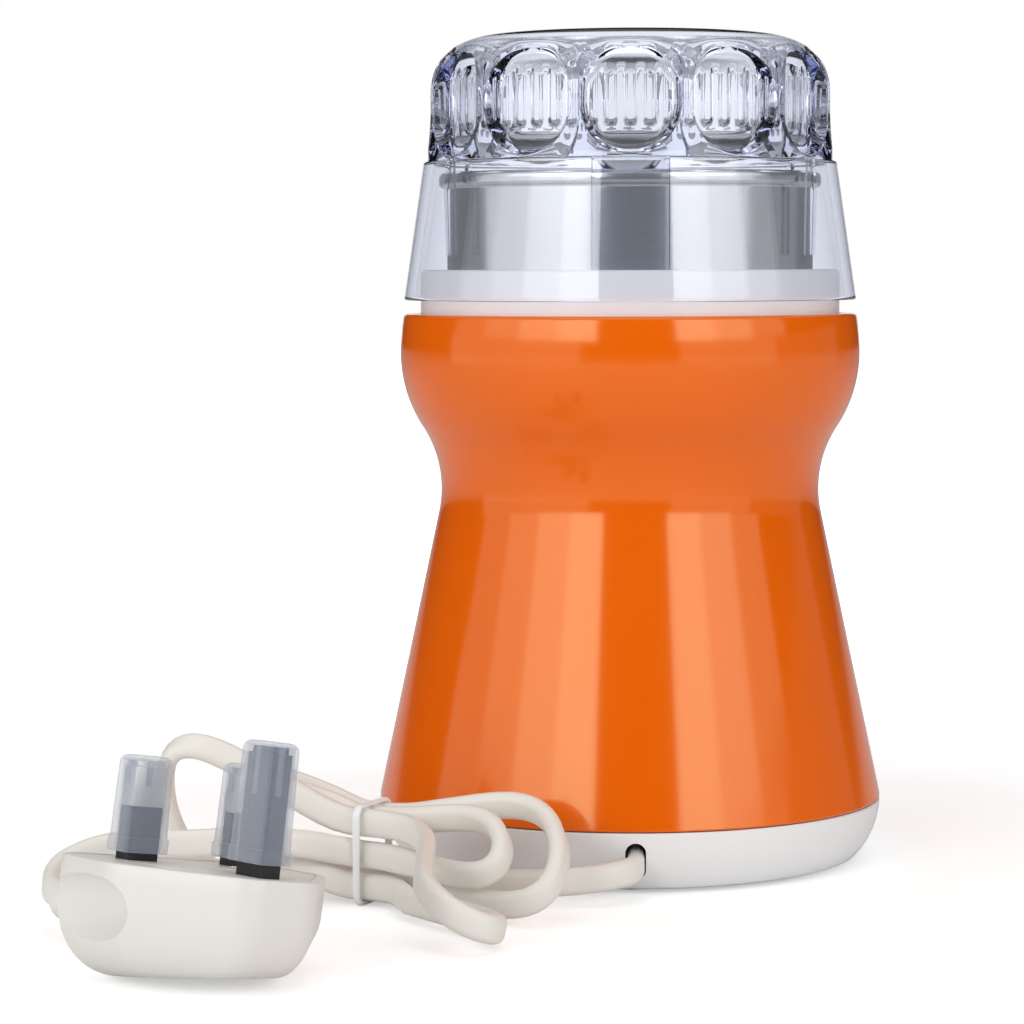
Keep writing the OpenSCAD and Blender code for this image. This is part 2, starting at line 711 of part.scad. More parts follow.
module rotor_windings() {
    r = rotor_d / 2;
    color([0.72, 0.4, 0.18]) {
        for (z = [stack_low - wind_h, stack_top]) translate([0, 0, z]) rotate_extrude() polygon(
            concat([[shaft_r + 1, 0], [r - 3.4, 0]], arc([r - 3.4, 2], 2, -40, 20, 3),
                   arc([r - 4.5, wind_h - 3], 3, 10, 90, 4), [[shaft_r + 1, wind_h]]));
        for (k = [0:11]) rotate(30 * k)
            box(r - 7.8, r - 1, -1.2, 1.2, stack_low - 0.5, stack_top + 0.5);
    }
}

module commutator() {
    color([0.75, 0.48, 0.22]) translate([0, 0, comm_low]) linear_extrude(comm_h) difference() {
        circle(r = comm_r);
        circle(r = shaft_r);
        for (k = [0:11]) rotate(30 * k + 15) translate([comm_r - 1.6, -0.25]) square([3, 0.5]);
    }
}

module cooling_fan() {
    color([0.2, 0.2, 0.22]) translate([0, 0, fan_low]) {
        ring(shaft_r, 6, 0, fan_h);
        ring(5, fan_d / 2, 0, 1.2);
        for (k = [0:fan_vanes - 1]) rotate(360 * k / fan_vanes)
            box(5.5, fan_d / 2 - 0.4, -0.6, 0.6, 0.6, fan_h);
    }
}

module stator_2d() {
    bore = rotor_d / 2 + 0.5;
    difference() {
        round_rect(stator_x, stator_y, 10 * stout);
        round_rect(stator_x - 17, stator_y - 10, 7 * stout);
        for (s = [-1, 1]) translate([s * leg_x, 0]) circle(r = leg_bore);
    }
    for (s = [0, 180]) rotate(s) {
        difference() {
            translate([-9.5, bore + 1]) square([19, stator_y / 2 - 4 - bore]);
            circle(r = bore);
        }
        intersection() {
            difference() {
                circle(r = bore + 2.6);
                circle(r = bore);
            }
            polygon([[0, 0], [-30, 16], [-30, 40], [30, 40], [30, 16]]);
        }
    }
}

module stator_core() {
    color([0.4, 0.41, 0.43]) translate([0, 0, stack_low]) linear_extrude(stack_h) stator_2d();
}

module stator_coils() {
    y0 = rotor_d / 2 + 3.3;
    y1 = stator_y / 2 - 5.2;
    color([0.7, 0.36, 0.14]) for (s = [0, 180]) rotate(s)
        translate([0, y1, (stack_low + stack_top) / 2]) rotate([90, 0, 0]) linear_extrude(y1 - y0)
            difference() {
                round_rect(rotor_d, stack_h + 11, 5);
                round_rect(19.6, stack_h + 0.6, 1);
            }
}

module upper_bracket() {
    color([0.86, 0.86, 0.84]) difference() {
        union() {
            intersection() {
                translate([0, 0, plate_low]) cylinder(h = plate_t, r = frame_r);
                box(-40, 40, switch_back + 1.6, 40, plate_low - 1, plate_top + 1);
            }
            box(-11, 11, switch_back + 0.1, switch_back + 2.4, switch_low, plate_top);
            translate([0, 0, hub_low]) cylinder(h = tub_floor - hub_low, r = 9);
            translate([0, 0, tub_floor - eps]) cylinder(h = spigot_top - tub_floor + eps, r = spigot_r);
            translate([0, 0, tub_floor - eps]) cylinder(h = tub_top - tub_floor + fit, r = 9);
            for (s = [-1, 1]) translate([s * leg_x, 0, stack_top])
                cylinder(h = plate_low - stack_top + eps, r = leg_r);
        }
        translate([0, 0, hub_low - 1]) cylinder(h = spigot_top - hub_low + 2, r = shaft_r + 0.4);
        translate([0, 0, hub_low - 1]) cylinder(h = 9.5, r = 6.5);
        for (s = [-1, 1]) translate([s * leg_x, 0, stack_top - 1]) cylinder(h = 13, r = leg_bore);
        for (a = [90, 210, 330]) rotate(a) translate([mount_ring, 0, plate_low - 1])
            cylinder(h = plate_t + 2, r = 1.6);
        for (x = [-4.8, 4.8]) translate([x, switch_back - 1, switch_low + 3])
            rotate([-90, 0, 0]) cylinder(h = 6, r = 1.1);
    }
}

module lower_bracket() {
    color([0.86, 0.86, 0.84]) difference() {
        union() {
            translate([0, 0, low_low]) cylinder(h = low_t, r = frame_r);
            translate([0, 0, low_low]) cylinder(h = low_hub_top - low_low, r = 8.2);
            for (s = [-1, 1]) {
                translate([s * leg_x, 0, low_low]) cylinder(h = stack_low - low_low, r = leg_r);
                box(-5, 5, min(s * 14, s * 27), max(s * 14, s * 27), low_top - eps, brush_z - 4.8);
            }
        }
        translate([0, 0, low_low + 1]) cylinder(h = 40, r = shaft_r + 0.4);
        translate([0, 0, low_low + 1.8]) cylinder(h = 40, r = 5.5);
        for (s = [-1, 1]) translate([s * leg_x, 0, low_low - 1]) cylinder(h = 60, r = leg_bore);
        for (a = [45:90:315]) rotate(a) translate([21 * stout, 0, low_low - 1]) cylinder(h = low_t + 2, r = 5.5);
    }
}

module upper_bearing() {
    color([0.72, 0.55, 0.3]) ring(shaft_r + run, 6.5, hub_low, hub_low + 8);
}

module lower_bearing() {
    color([0.72, 0.55, 0.3]) ring(shaft_r + run, 5.5, low_low + 1.8, low_hub_top - 0.4);
}

module motor_screws() {
    color([0.7, 0.7, 0.72]) for (s = [-1, 1])
        screw(s * leg_x, 0, low_low, 3, 2.2, leg_bore, stack_top - low_low + 11);
}

module motor_pad() {
    color([0.15, 0.15, 0.16]) {
        ring(14.5, 18, motor_seat, low_low);
    }
}

module brush_holders() {
    color([0.8, 0.66, 0.32]) for (s = [0, 180]) rotate(s) difference() {
        box(-4, 4, comm_r + 2.6, comm_r + 17, brush_z - 4.8, brush_z + 4.6);
        box(-3.1, 3.1, comm_r, comm_r + 16, brush_z - 3.6, brush_z + 3.6);
    }
}

module carbon_brushes() {
    color([0.13, 0.13, 0.14]) for (s = [0, 180]) rotate(s)
        box(-3, 3, comm_r + 0.3, comm_r + 10, brush_z - 3.5, brush_z + 3.5);
}

module brush_springs() {
    color([0.72, 0.72, 0.74]) for (s = [0, 180]) rotate(s)
        translate([0, comm_r + 10.1, brush_z]) rotate([-90, 0, 0]) spring(4.8, 0.6, 5.8, 4);
}

// Lead clamp and wires inside the base
module cord_clamp() {
    z = slot_z + cord_w / 2 + 0.1;
    color([0.88, 0.88, 0.86]) difference() {
        box(slot_x - clamp_x - 3, slot_x + clamp_x + 3, clamp_y - 2.6, clamp_y + 2.6, z, z + 2.4);
        for (s = [-1, 1]) translate([slot_x + s * clamp_x, clamp_y, z - 1]) cylinder(h = 5, r = 1.4);
    }
}

module cord_clamp_screws() {
    z = slot_z + cord_w / 2 + 2.5;
    color([0.7, 0.7, 0.72]) for (s = [-1, 1]) translate([slot_x + s * clamp_x, clamp_y, z])
        rotate([180, 0, 0]) screw(0, 0, 0, 2.4, 1.6, 1.2, 8);
}

module inner_wires() {
    wire_end = switch_low - 4.05;
    color([0.55, 0.3, 0.16]) for (s = [-1, 1]) {
        p = [[slot_x + s * 0.9, clamp_y + 3, slot_z], [slot_x + s * 0.9, clamp_y + 5.6, slot_z],
             [slot_x + s * 1.6, clamp_y + 8, slot_z + 4], [s * 3, -frame_r - 3, slot_z + 12], [s * 5, 4.4 - waist_d / 2, mix(slot_z, wire_end, 0.46)],
             [s * 6.4, 5.4 - waist_d / 2, mix(slot_z, wire_end, 0.69)],
             [s * 7, switch_mid, wire_end - 6], [s * 7, switch_mid, wire_end]];
        sweep(p, [for (q = p) [1, 0, 0]], round_section(0.8, 8));
    }
}

// Lead: one path from the clamp in the base through the tied hank to the plug
function spline_point(p, i, t) =
    let (p1 = p[i], p2 = p[i + 1],
         p0 = i > 0 ? p[i - 1] : 2 * p1 - p2,
         p3 = i + 2 < len(p) ? p[i + 2] : 2 * p2 - p1)
    0.5 * (2 * p1 + (p2 - p0) * t + (2 * p0 - 5 * p1 + 4 * p2 - p3) * t * t
           + (3 * p1 - p0 - 3 * p2 + p3) * t * t * t);
function spline(p, per) =
    concat([for (i = [0:len(p) - 2], k = [0:per - 1]) spline_point(p, i, k / per)], [p[len(p) - 1]]);
function slot(q) = tie_at + tie_across * (q.x - 1) * col_gap + [0, 0, row_low + row_gap * q.y];
function loop_point(q, t) =
    let (out = unit(q[4]), up = unit(q[5]), s = sin(180 * t), m = (1 - cos(180 * t)) / 2,
         rise = out.x < 0 ? -1 : 1, f = min(1, s / (q[6] > 0 && t < 0.5 ? straight_out : straight)),
         way = mix(tie_along * rise, out, f * f * (3 - 2 * f)))
    mix(slot(q[0]), slot(q[1]), m) + way * q[2] * s + up * rise * q[3] * sin(360 * t) * s
    - [0, 0, q[6] * s * s * (1 - m)];
function loop_wide(q, t) =
    let (n = unit(cross(unit(q[4]), unit(q[5]))), s = sin(180 * t),
         turn = n.z < 0 || (abs(n.z) < 0.2 && n.y < 0) ? -1 : 1)
    unit([0, 0, 1 - s * s] + turn * n * s * s);
function in_plug(x, y, z) = plug_at + plug_x * x + plug_y * y + plug_z * z;

hank_path = [for (q = loops, i = [0:loop_rings - 1]) loop_point(q, i / loop_rings)];
hank_wide = [for (q = loops, i = [0:loop_rings - 1]) loop_wide(q, i / loop_rings)];
start_path = spline(concat(base_route, [hank_path[0]]), 3);
end_path = spline(concat([slot(loops[len(loops) - 1][1])], plug_route,
                         [in_plug(relief_end, 0, relief_z),
                          in_plug(relief_end + relief_bore, 0, relief_z)]), 3);
hank_first = len(start_path) - 1;
hank_last = hank_first + len(hank_path);
lead_path = concat([for (i = [0:hank_first - 1]) start_path[i]], hank_path, end_path);
lead_wide = concat([for (i = [0:hank_first - 1]) [0, 0, 1]], hank_wide,
                   [for (i = [0:len(end_path) - 1]) mix([0, 0, 1], plug_z, i / (len(end_path) - 1))]);
lead_section = [for (k = [0:9])
    let (c = cos(36 * k + 18))
    [(cord_w - cord_t) / 2 * (c > 0.01 ? 1 : c < -0.01 ? -1 : 0) + cord_t / 2 * c,
     cord_t / 2 * sin(36 * k + 18)]];
lead_rings = [for (i = [0:len(lead_path) - 1]) sweep_ring(lead_path, lead_wide, i, lead_section)];
lead_gap = min([for (i = [0:len(lead_path) - 10], j = [i + 9:len(lead_path) - 1])
    if (norm(lead_path[i] - lead_path[j]) < 9)
        min([for (a = lead_rings[i], b = lead_rings[j]) norm(a - b)])]);
echo(lead_gap = lead_gap);
echo(lead_low = min([for (r = lead_rings, q = r) q.z]));

module cord_base_stretch() {
    color([0.92, 0.91, 0.87]) sweep_part(lead_path, lead_wide, lead_section, 0, hank_first);
}

module cord_hank() {
    color([0.92, 0.91, 0.87]) sweep_part(lead_path, lead_wide, lead_section, hank_first, hank_last);
}

module cord_plug_stretch() {
    color([0.92, 0.91, 0.87])
        sweep_part(lead_path, lead_wide, lead_section, hank_last, len(lead_path) - 1);
}

module cord_tie() {
    w = 2 * col_gap + cord_t + 1.4;
    h = 2 * row_gap + cord_w + 0.25;
    color([0.95, 0.95, 0.95]) translate(tie_at) rotate(tie_turn)
        translate([-tie_w / 2, -0.25, row_low - cord_w / 2 - 0.05 + h / 2]) rotate([90, 0, 90])
            linear_extrude(tie_w) difference() {
                round_rect(w + 2 * tie_t, h + 2 * tie_t, 2.6);
                round_rect(w, h, 1.8);
            }
}

// Plug
module in_plug_frame() {
    translate(plug_at) rotate(plug_turn) children();
}

// Outline round circles given as x, y, radius: the furthest point in each direction
plug_top = [[-3.5, 15.5, 7.5], [8, 15, 8], [24, 3.5, 7]];
plug_back = [[0, 7, 4], [9, 6.5, 4.5], [19, 2.5, 5]];
plug_points = 48;
function furthest(cs, u) =
    let (reach = [for (c = cs) c.x * u.x + c.y * u.y + c.z], most = max(reach))
    [for (i = [0:len(cs) - 1]) if (reach[i] == most) cs[i]][0];
function plug_ring(cs, inset) =
    let (both = [for (c = cs, s = [-1, 1]) [c.x, s * c.y, c.z - inset]])
    [for (k = [0:plug_points - 1])
        let (a = 360 * (k + 0.5) / plug_points, u = [cos(a), sin(a)], c = furthest(both, u))
        [c.x, c.y] + c.z * u];
function plug_layer(inset, z) = [for (q = plug_ring(plug_top, inset)) [q.x, q.y, z]];

module plug_outline(inset) {
    polygon(plug_ring(plug_top, inset));
}

// The back is flat on the table: its distance from the face at a point, least at the far side
function plug_back_z(q) = plug_depth + (plug_x.z * q.x + plug_y.z * (q.y - 11)) / plug_z.z;

module plug_boat() {
    under = [for (t = [90:-15:0]) each
        let (f = 1 - cos(t), cs = [for (i = [0:2]) mix(plug_top[i], plug_back[i], f)])
        [for (q = plug_ring(cs, 0)) [q.x, q.y, -6 - (plug_back_z(q) - 6) * sin(t)]]];
    skin(concat(under, plug_layer(0, -0.5), plug_layer(0.4, 0)), plug_points);
}

module pin_block(grow, z0, z1) {
    for (s = [-1, 1]) translate([0, s * pin_gap / 2, 0])
        box(-pin_x / 2 - grow, pin_x / 2 + grow, -pin_y / 2 - grow, pin_y / 2 + grow, z0, z1);
}

module earth_block(grow, z0, z1) {
    translate([pin_drop, 0, 0])
        box(-earth_x / 2 - grow, earth_x / 2 + grow, -earth_y / 2 - grow, earth_y / 2 + grow, z0, z1);
}

module carrier_block(grow, z0, z1) {
    translate([fuse_x, 0, 0])
        box(-carrier_w / 2 - grow, carrier_w / 2 + grow, -carrier_l / 2 - grow, carrier_l / 2 + grow,
            z0, z1);
}

module plug_body() {
    color([0.92, 0.91, 0.87]) in_plug_frame() difference() {
        plug_boat();
        translate([0, 0, -face_t]) linear_extrude(face_t + 1) plug_outline(face_rim);
        pin_block(0, -pin_root, 1);
        earth_block(0, -pin_root, 1);
        carrier_block(0.15, -carrier_h - 0.2, 1);
        translate([-20, 0, relief_z]) rotate([0, 90, 0]) cylinder(h = 14, r = 4.4);
        for (s = [-1, 1]) translate([3.5, s * 25.4, -9]) scale([18, 5, 6.8]) sphere(r = 1, $fn = 40);
    }
}

module plug_face_plate() {
    color([0.94, 0.93, 0.89]) in_plug_frame() difference() {
        translate([0, 0, -face_t]) linear_extrude(face_t - 0.1) plug_outline(face_rim + 0.2);
        pin_block(0.1, -pin_root, 1);
        earth_block(0.1, -pin_root, 1);
        carrier_block(0.15, -carrier_h, 1);
    }
}

// Ribbed sleeve round the lead, along -X of the plug frame
module plug_strain_relief() {
    start = -6;
    color([0.92, 0.91, 0.87]) in_plug_frame() translate([start, 0, relief_z]) rotate([0, -90, 0])
        difference() {
            union() {
                cylinder(h = 7, r = 4.4);
                translate([0, 0, 6.5]) cylinder(h = start - relief_end - 6.5, r1 = 4.4, r2 = 3.9);
                for (z = [10, 15, 20, 25]) translate([0, 0, z]) rotate_extrude() polygon(
                    concat([[2, 0]], arc([5.1 - z * 0.02, 1.5], 1.5, -90, 90, 8), [[2, 3]]));
            }
            translate([0, 0, start - relief_end - relief_bore]) linear_extrude(relief_bore + 1) {
                square([cord_w - cord_t, cord_t + 0.6], center = true);
                for (s = [-1, 1]) translate([s * (cord_w - cord_t) / 2, 0]) circle(r = cord_t / 2 + 0.3);
            }
        }
}

module contact_pin(s) {
    color([0.8, 0.7, 0.42]) in_plug_frame() translate([0, s * pin_gap / 2, 0]) {
        box(-pin_x / 2, pin_x / 2, -pin_y / 2, pin_y / 2, -pin_root, 0);
        box(-1.2, 1.2, -2.4, 2.4, -1, sleeve_h + 1);
        box(-pin_x / 2, pin_x / 2, -pin_y / 2, pin_y / 2, sleeve_h, pin_h - 1);
        translate([0, 0, pin_h - 1]) linear_extrude(1)
            square([pin_x - 0.8, pin_y - 0.8], center = true);
    }
}

module plug_live_pin() {
    contact_pin(-1);
}

module plug_neutral_pin() {
    contact_pin(1);
}

module pin_sleeves() {
    color([0.08, 0.08, 0.09]) in_plug_frame() difference() {
        pin_block(0, 0, sleeve_h);
        for (s = [-1, 1]) translate([0, s * pin_gap / 2, 0]) box(-1.2, 1.2, -2.4, 2.4, -1, sleeve_h + 1);
    }
}

module plug_earth_pin() {
    color([0.08, 0.08, 0.09]) in_plug_frame() {
        earth_block(0, -pin_root, earth_h - 1.2);
        translate([pin_drop, 0, earth_h - 1.25]) linear_extrude(1.25)
            square([earth_x - 1, earth_y - 1], center = true);
    }
}

// Travel cap over a pin: pin size, height of the lower edge and of the pin's tip
module cap_solid(x, y, z0, z1, grow, lean) {
    hull() {
        translate([0, 0, z0]) linear_extrude(0.02) round_rect(x + 2 * grow, y + 2 * grow, 1.2, $fn = 24);
        translate([0, 0, z1 - 1.02]) linear_extrude(0.02)
            round_rect(x + 2 * (grow - lean), y + 2 * (grow - lean), 1.2, $fn = 24);
        translate([0, 0, z1 - 0.02]) linear_extrude(0.02)
            round_rect(x + 2 * (grow - lean) - 1.4, y + 2 * (grow - lean) - 1.4, 0.8, $fn = 24);
    }
}

module pin_cap(x, y, low, tip) {
    wide = cap_room + cap_wall + 0.15;
    color([0.82, 0.83, 0.87, 0.55]) difference() {
        union() {
            cap_solid(x, y, low, tip + cap_room + 0.6, wide, 0.25);
            translate([0, 0, low]) linear_extrude(2.6) round_rect(x + 2 * wide + 0.4, y + 2 * wide + 0.4, 1.4);
        }
        translate([0, 0, low - 1]) linear_extrude(tip + cap_room - low + 1)
            square([x + 2 * cap_room, y + 2 * cap_room], center = true);
    }
}

module cap_live() {
    in_plug_frame() translate([0, -pin_gap / 2, 0]) pin_cap(pin_x, pin_y, 1.4, pin_h);
}

module cap_neutral() {
    in_plug_frame() translate([0, pin_gap / 2, 0]) pin_cap(pin_x, pin_y, 1.4, pin_h);
}

module cap_earth() {
    in_plug_frame() translate([pin_drop, 0, 0]) pin_cap(earth_x, earth_y, 2.3, earth_h);
}

module fuse_carrier() {
    color([0.9, 0.89, 0.85]) in_plug_frame() difference() {
        carrier_block(0, -carrier_h, 0);
        translate([fuse_x, fuse_l / 2, -carrier_h / 2]) rotate([90, 0, 0])
            cylinder(h = fuse_l, r = fuse_r + 0.02);
        translate([fuse_x - 2.6, -fuse_l / 2, -carrier_h - 1]) cube([5.2, fuse_l, 4]);
        translate([fuse_x - 1.2, -2.5, -0.6]) cube([2.4, 5, 1]);
    }
}

module plug_fuse() {
    color([0.85, 0.83, 0.78]) in_plug_frame() translate([fuse_x, fuse_l / 2, -carrier_h / 2])
        rotate([90, 0, 0]) cylinder(h = fuse_l, r = fuse_r);
}

housing_shell();
base_cover();
rubber_feet();
base_screws();
top_collar();
grinding_cup();
cup_nut();
shaft_seal();
lid();
press_pusher();
push_spring();
switch_body();
switch_lever();
switch_button();
switch_screws();
blade();
blade_hub();
blade_nut();
motor_shaft();
rotor_core();
rotor_windings();
commutator();
cooling_fan();
stator_core();
stator_coils();
upper_bracket();
lower_bracket();
upper_bearing();
lower_bearing();
motor_screws();
mount_screws();
motor_pad();
brush_holders();
carbon_brushes();
brush_springs();
cord_clamp();
cord_clamp_screws();
inner_wires();
cord_base_stretch();
cord_hank();
cord_plug_stretch();
cord_tie();
plug_body();
plug_face_plate();
plug_strain_relief();
plug_live_pin();
plug_neutral_pin();
plug_earth_pin();
pin_sleeves();
cap_live();
cap_neutral();
cap_earth();
fuse_carrier();
plug_fuse();
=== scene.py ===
# %% [markdown]
# # Electric coffee grinder with a clear press-down lid
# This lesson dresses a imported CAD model. The CAD solids give every piece its place, so nothing here
# is fitted by eye: new pieces are built from the same sizes, in millimetres, round the same origin.
# Pieces that the eye sees are rebuilt with smooth faces, and the rest keep their CAD mesh.

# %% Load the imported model
import math

import bmesh
import bpy
from mathutils import Matrix, Vector


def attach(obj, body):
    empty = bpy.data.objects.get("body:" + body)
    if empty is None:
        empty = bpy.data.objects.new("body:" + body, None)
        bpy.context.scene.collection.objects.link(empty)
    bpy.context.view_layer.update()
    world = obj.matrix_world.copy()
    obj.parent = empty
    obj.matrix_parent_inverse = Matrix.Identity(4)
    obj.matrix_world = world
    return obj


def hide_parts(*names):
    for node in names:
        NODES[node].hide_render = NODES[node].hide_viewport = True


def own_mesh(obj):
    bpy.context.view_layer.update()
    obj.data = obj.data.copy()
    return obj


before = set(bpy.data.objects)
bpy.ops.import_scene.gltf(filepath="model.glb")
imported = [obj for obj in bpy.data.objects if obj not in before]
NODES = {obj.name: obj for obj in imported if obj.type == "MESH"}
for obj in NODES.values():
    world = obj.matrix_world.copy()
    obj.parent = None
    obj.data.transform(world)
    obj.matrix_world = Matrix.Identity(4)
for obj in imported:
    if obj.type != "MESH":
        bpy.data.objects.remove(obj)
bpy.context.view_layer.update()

MM = 0.001

# %% [markdown]
# The camera comes first, because every later choice is judged through it. A product photograph is
# taken from far away with a long lens, so the sides of the body stay almost parallel. A camera could
# be placed by eye, but here its place and lens come from the heights and widths measured in the
# picture. The camera has no shift, so that views from other sides stay centred.


# %% Camera
def aim_camera(place_mm, yaw, pitch, roll, lens):
    data = bpy.data.cameras.new("studio_camera")
    data.lens = lens
    data.sensor_width = 36.0
    data.clip_start = 0.01
    data.clip_end = 60.0
    camera = bpy.data.objects.new("studio_camera", data)
    bpy.context.scene.collection.objects.link(camera)
    look = Vector((math.sin(yaw) * math.cos(pitch), math.cos(yaw) * math.cos(pitch), math.sin(pitch)))
    turn = look.to_track_quat("-Z", "Y").to_matrix() @ Matrix.Rotation(roll, 3, "Z")
    camera.matrix_world = Matrix.Translation(Vector(place_mm) * MM) @ turn.to_4x4()
    bpy.context.scene.camera = camera
    return camera


camera = aim_camera((-3.31, -727.47, 127.26), math.radians(-1.731), math.radians(-4.192),
                    math.radians(-0.125), 119.22)
print("camera at", [round(v, 3) for v in camera.location], "lens", camera.data.lens)

# %% [markdown]
# Materials and backgrounds are trees of nodes. A tree could be drawn in the editor, but in code it can
# be read from top to bottom. Each helper here adds one node and hands back its output, so that a
# tree reads like a sum.


# %% Node helpers
def feed(tree, socket, value):
    """Links an output to a socket, or puts a plain number or colour on it."""
    if isinstance(value, bpy.types.NodeSocket):
        tree.links.new(value, socket)
    else:
        socket.default_value = value


def fill(tree, node, values):
    for name, value in values.items():
        feed(tree, node.inputs[name], value)


def calc(tree, operation, *values, clamp=False):
    node = tree.nodes.new("ShaderNodeMath")
    node.operation = operation
    node.use_clamp = clamp
    for socket, value in zip(node.inputs, values):
        feed(tree, socket, value)
    return node.outputs[0]


def remap(tree, value, low, high, to_low=0.0, to_high=1.0, smooth=False):
    node = tree.nodes.new("ShaderNodeMapRange")
    node.interpolation_type = "SMOOTHSTEP" if smooth else "LINEAR"
    fill(tree, node, {"Value": value, "From Min": low, "From Max": high, "To Min": to_low,
                      "To Max": to_high})
    return node.outputs["Result"]


def mix(tree, factor, a, b, kind="RGBA", blend="MIX"):
    node = tree.nodes.new("ShaderNodeMix")
    node.data_type = kind
    node.blend_type = blend
    fill(tree, node, {"Factor": factor, "A": a, "B": b})
    return node.outputs["Result"]


def noise(tree, where, scale, detail):
    node = tree.nodes.new("ShaderNodeTexNoise")
    fill(tree, node, {"Vector": where, "Scale": scale, "Detail": detail})
    return node.outputs["Fac"]


print("node helpers ready")

# %% [markdown]
# A material that is one flat colour looks like a toy. Moulded plastic has a faint cloudiness in its
# colour and an uneven gloss, and brushed steel has fine lines. Each effect is used by many finishes,
# so each is a shader node group with named inputs. The group only gives out what changes over the
# surface. The shader itself stays in the material, where its plain numbers are set.


# %% Shader groups
def start_group(name, *inputs):
    """A group with inputs given as label, kind and value. It gives out colour, roughness, height."""
    tree = bpy.data.node_groups.new(name, "ShaderNodeTree")
    for label, kind, value in inputs:
        made = tree.interface.new_socket(name=label, in_out="INPUT", socket_type="NodeSocket" + kind)
        made.default_value = value
    for label, kind in (("Colour", "Color"), ("Roughness", "Float"), ("Height", "Float")):
        tree.interface.new_socket(name=label, in_out="OUTPUT", socket_type="NodeSocket" + kind)
    given = tree.nodes.new("NodeGroupInput").outputs
    where = tree.nodes.new("ShaderNodeTexCoord").outputs["Object"]
    return tree, given, where


def end_group(tree, colour, roughness, height):
    out = tree.nodes.new("NodeGroupOutput")
    fill(tree, out, {"Colour": colour, "Roughness": roughness, "Height": height})
    return tree


def make_skin_group():
    """Cloudy colour, uneven gloss and a fine moulded grain."""
    tree, given, where = start_group(
        "moulded_skin", ("Colour", "Color", (0.8, 0.8, 0.8, 1)), ("Cloud", "Float", 0.05),
        ("Cloud Scale", "Float", 40.0), ("Gloss", "Float", 0.3), ("Gloss Spread", "Float", 0.06),
        ("Grain Scale", "Float", 900.0))
    cloud = noise(tree, where, given["Cloud Scale"], 4.0)
    dim = calc(tree, "MULTIPLY", remap(tree, cloud, 0.3, 0.7), given["Cloud"])
    colour = mix(tree, dim, given["Colour"], (0.55, 0.55, 0.58, 1), blend="MULTIPLY")
    swing = calc(tree, "SUBTRACT", cloud, 0.5)
    rough = calc(tree, "MULTIPLY_ADD", swing, given["Gloss Spread"], given["Gloss"], clamp=True)
    return end_group(tree, colour, rough, noise(tree, where, given["Grain Scale"], 2.0))


def make_brush_group():
    """Fine lines in metal. They run round the axis when their scale is small in X and Y."""
    tree, given, where = start_group(
        "brushed_lines", ("Colour", "Color", (0.7, 0.7, 0.7, 1)),
        ("Line Scale", "Vector", (25.0, 25.0, 2600.0)), ("Contrast", "Float", 0.2),
        ("Gloss", "Float", 0.25), ("Gloss Spread", "Float", 0.15))
    stretch = tree.nodes.new("ShaderNodeVectorMath")
    stretch.operation = "MULTIPLY"
    feed(tree, stretch.inputs[0], where)
    feed(tree, stretch.inputs[1], given["Line Scale"])
    lines = noise(tree, stretch.outputs[0], 1.0, 3.0)
    dim = calc(tree, "MULTIPLY", lines, given["Contrast"])
    colour = mix(tree, dim, given["Colour"], (0.45, 0.45, 0.46, 1), blend="MULTIPLY")
    rough = calc(tree, "MULTIPLY_ADD", lines, given["Gloss Spread"], given["Gloss"], clamp=True)
    return end_group(tree, colour, rough, lines)


SKIN = make_skin_group()
BRUSH = make_brush_group()
print("shader groups", SKIN.name, BRUSH.name)

# %% [markdown]
# Each finish is one function call: a group for what varies, and plain numbers on the shader for what
# doesn't. Colours are written as they look on a screen and turned into the linear values that
# Blender's light needs. A name here is the name of the material slot in the CAD model.

# %% Finishes
FINISH = {}


def linear(rgb):
    out = []
    for v in rgb:
        c = v / 255.0
        out.append(c / 12.92 if c <= 0.04045 else ((c + 0.055) / 1.055) ** 2.4)
    return (out[0], out[1], out[2], 1.0)


def start_finish(name, group, inputs, shader, bump, depth):
    made = bpy.data.materials.new(name)
    made.use_nodes = True
    tree = made.node_tree
    bsdf = tree.nodes["Principled BSDF"]
    varied = tree.nodes.new("ShaderNodeGroup")
    varied.node_tree = group
    fill(tree, varied, inputs)
    fill(tree, bsdf, shader)
    fill(tree, bsdf, {"Base Color": varied.outputs["Colour"],
                      "Roughness": varied.outputs["Roughness"]})
    if bump > 0:
        relief = tree.nodes.new("ShaderNodeBump")
        fill(tree, relief, {"Strength": bump, "Distance": depth, "Height": varied.outputs["Height"]})
        feed(tree, bsdf.inputs["Normal"], relief.outputs["Normal"])
    FINISH[name] = made


def plastic(name, rgb, gloss, cloud=0.06, cloud_scale=45.0, spread=0.05, grain=900.0, bump=0.02,
            **shader):
    keys = {key.replace("_", " ").title().replace("Ior", "IOR"): v for key, v in shader.items()}
    start_finish(name, SKIN, {
        "Colour": linear(rgb), "Cloud": cloud, "Cloud Scale": cloud_scale, "Gloss": gloss,
        "Gloss Spread": spread, "Grain Scale": grain}, keys, bump, 0.0002)


def metal(name, rgb, gloss, lines=(25.0, 25.0, 2600.0), contrast=0.2, spread=0.15, bump=0.05):
    start_finish(name, BRUSH, {
        "Colour": linear(rgb), "Line Scale": lines, "Contrast": contrast, "Gloss": gloss,
        "Gloss Spread": spread}, {"Metallic": 1.0}, bump, 0.0001)


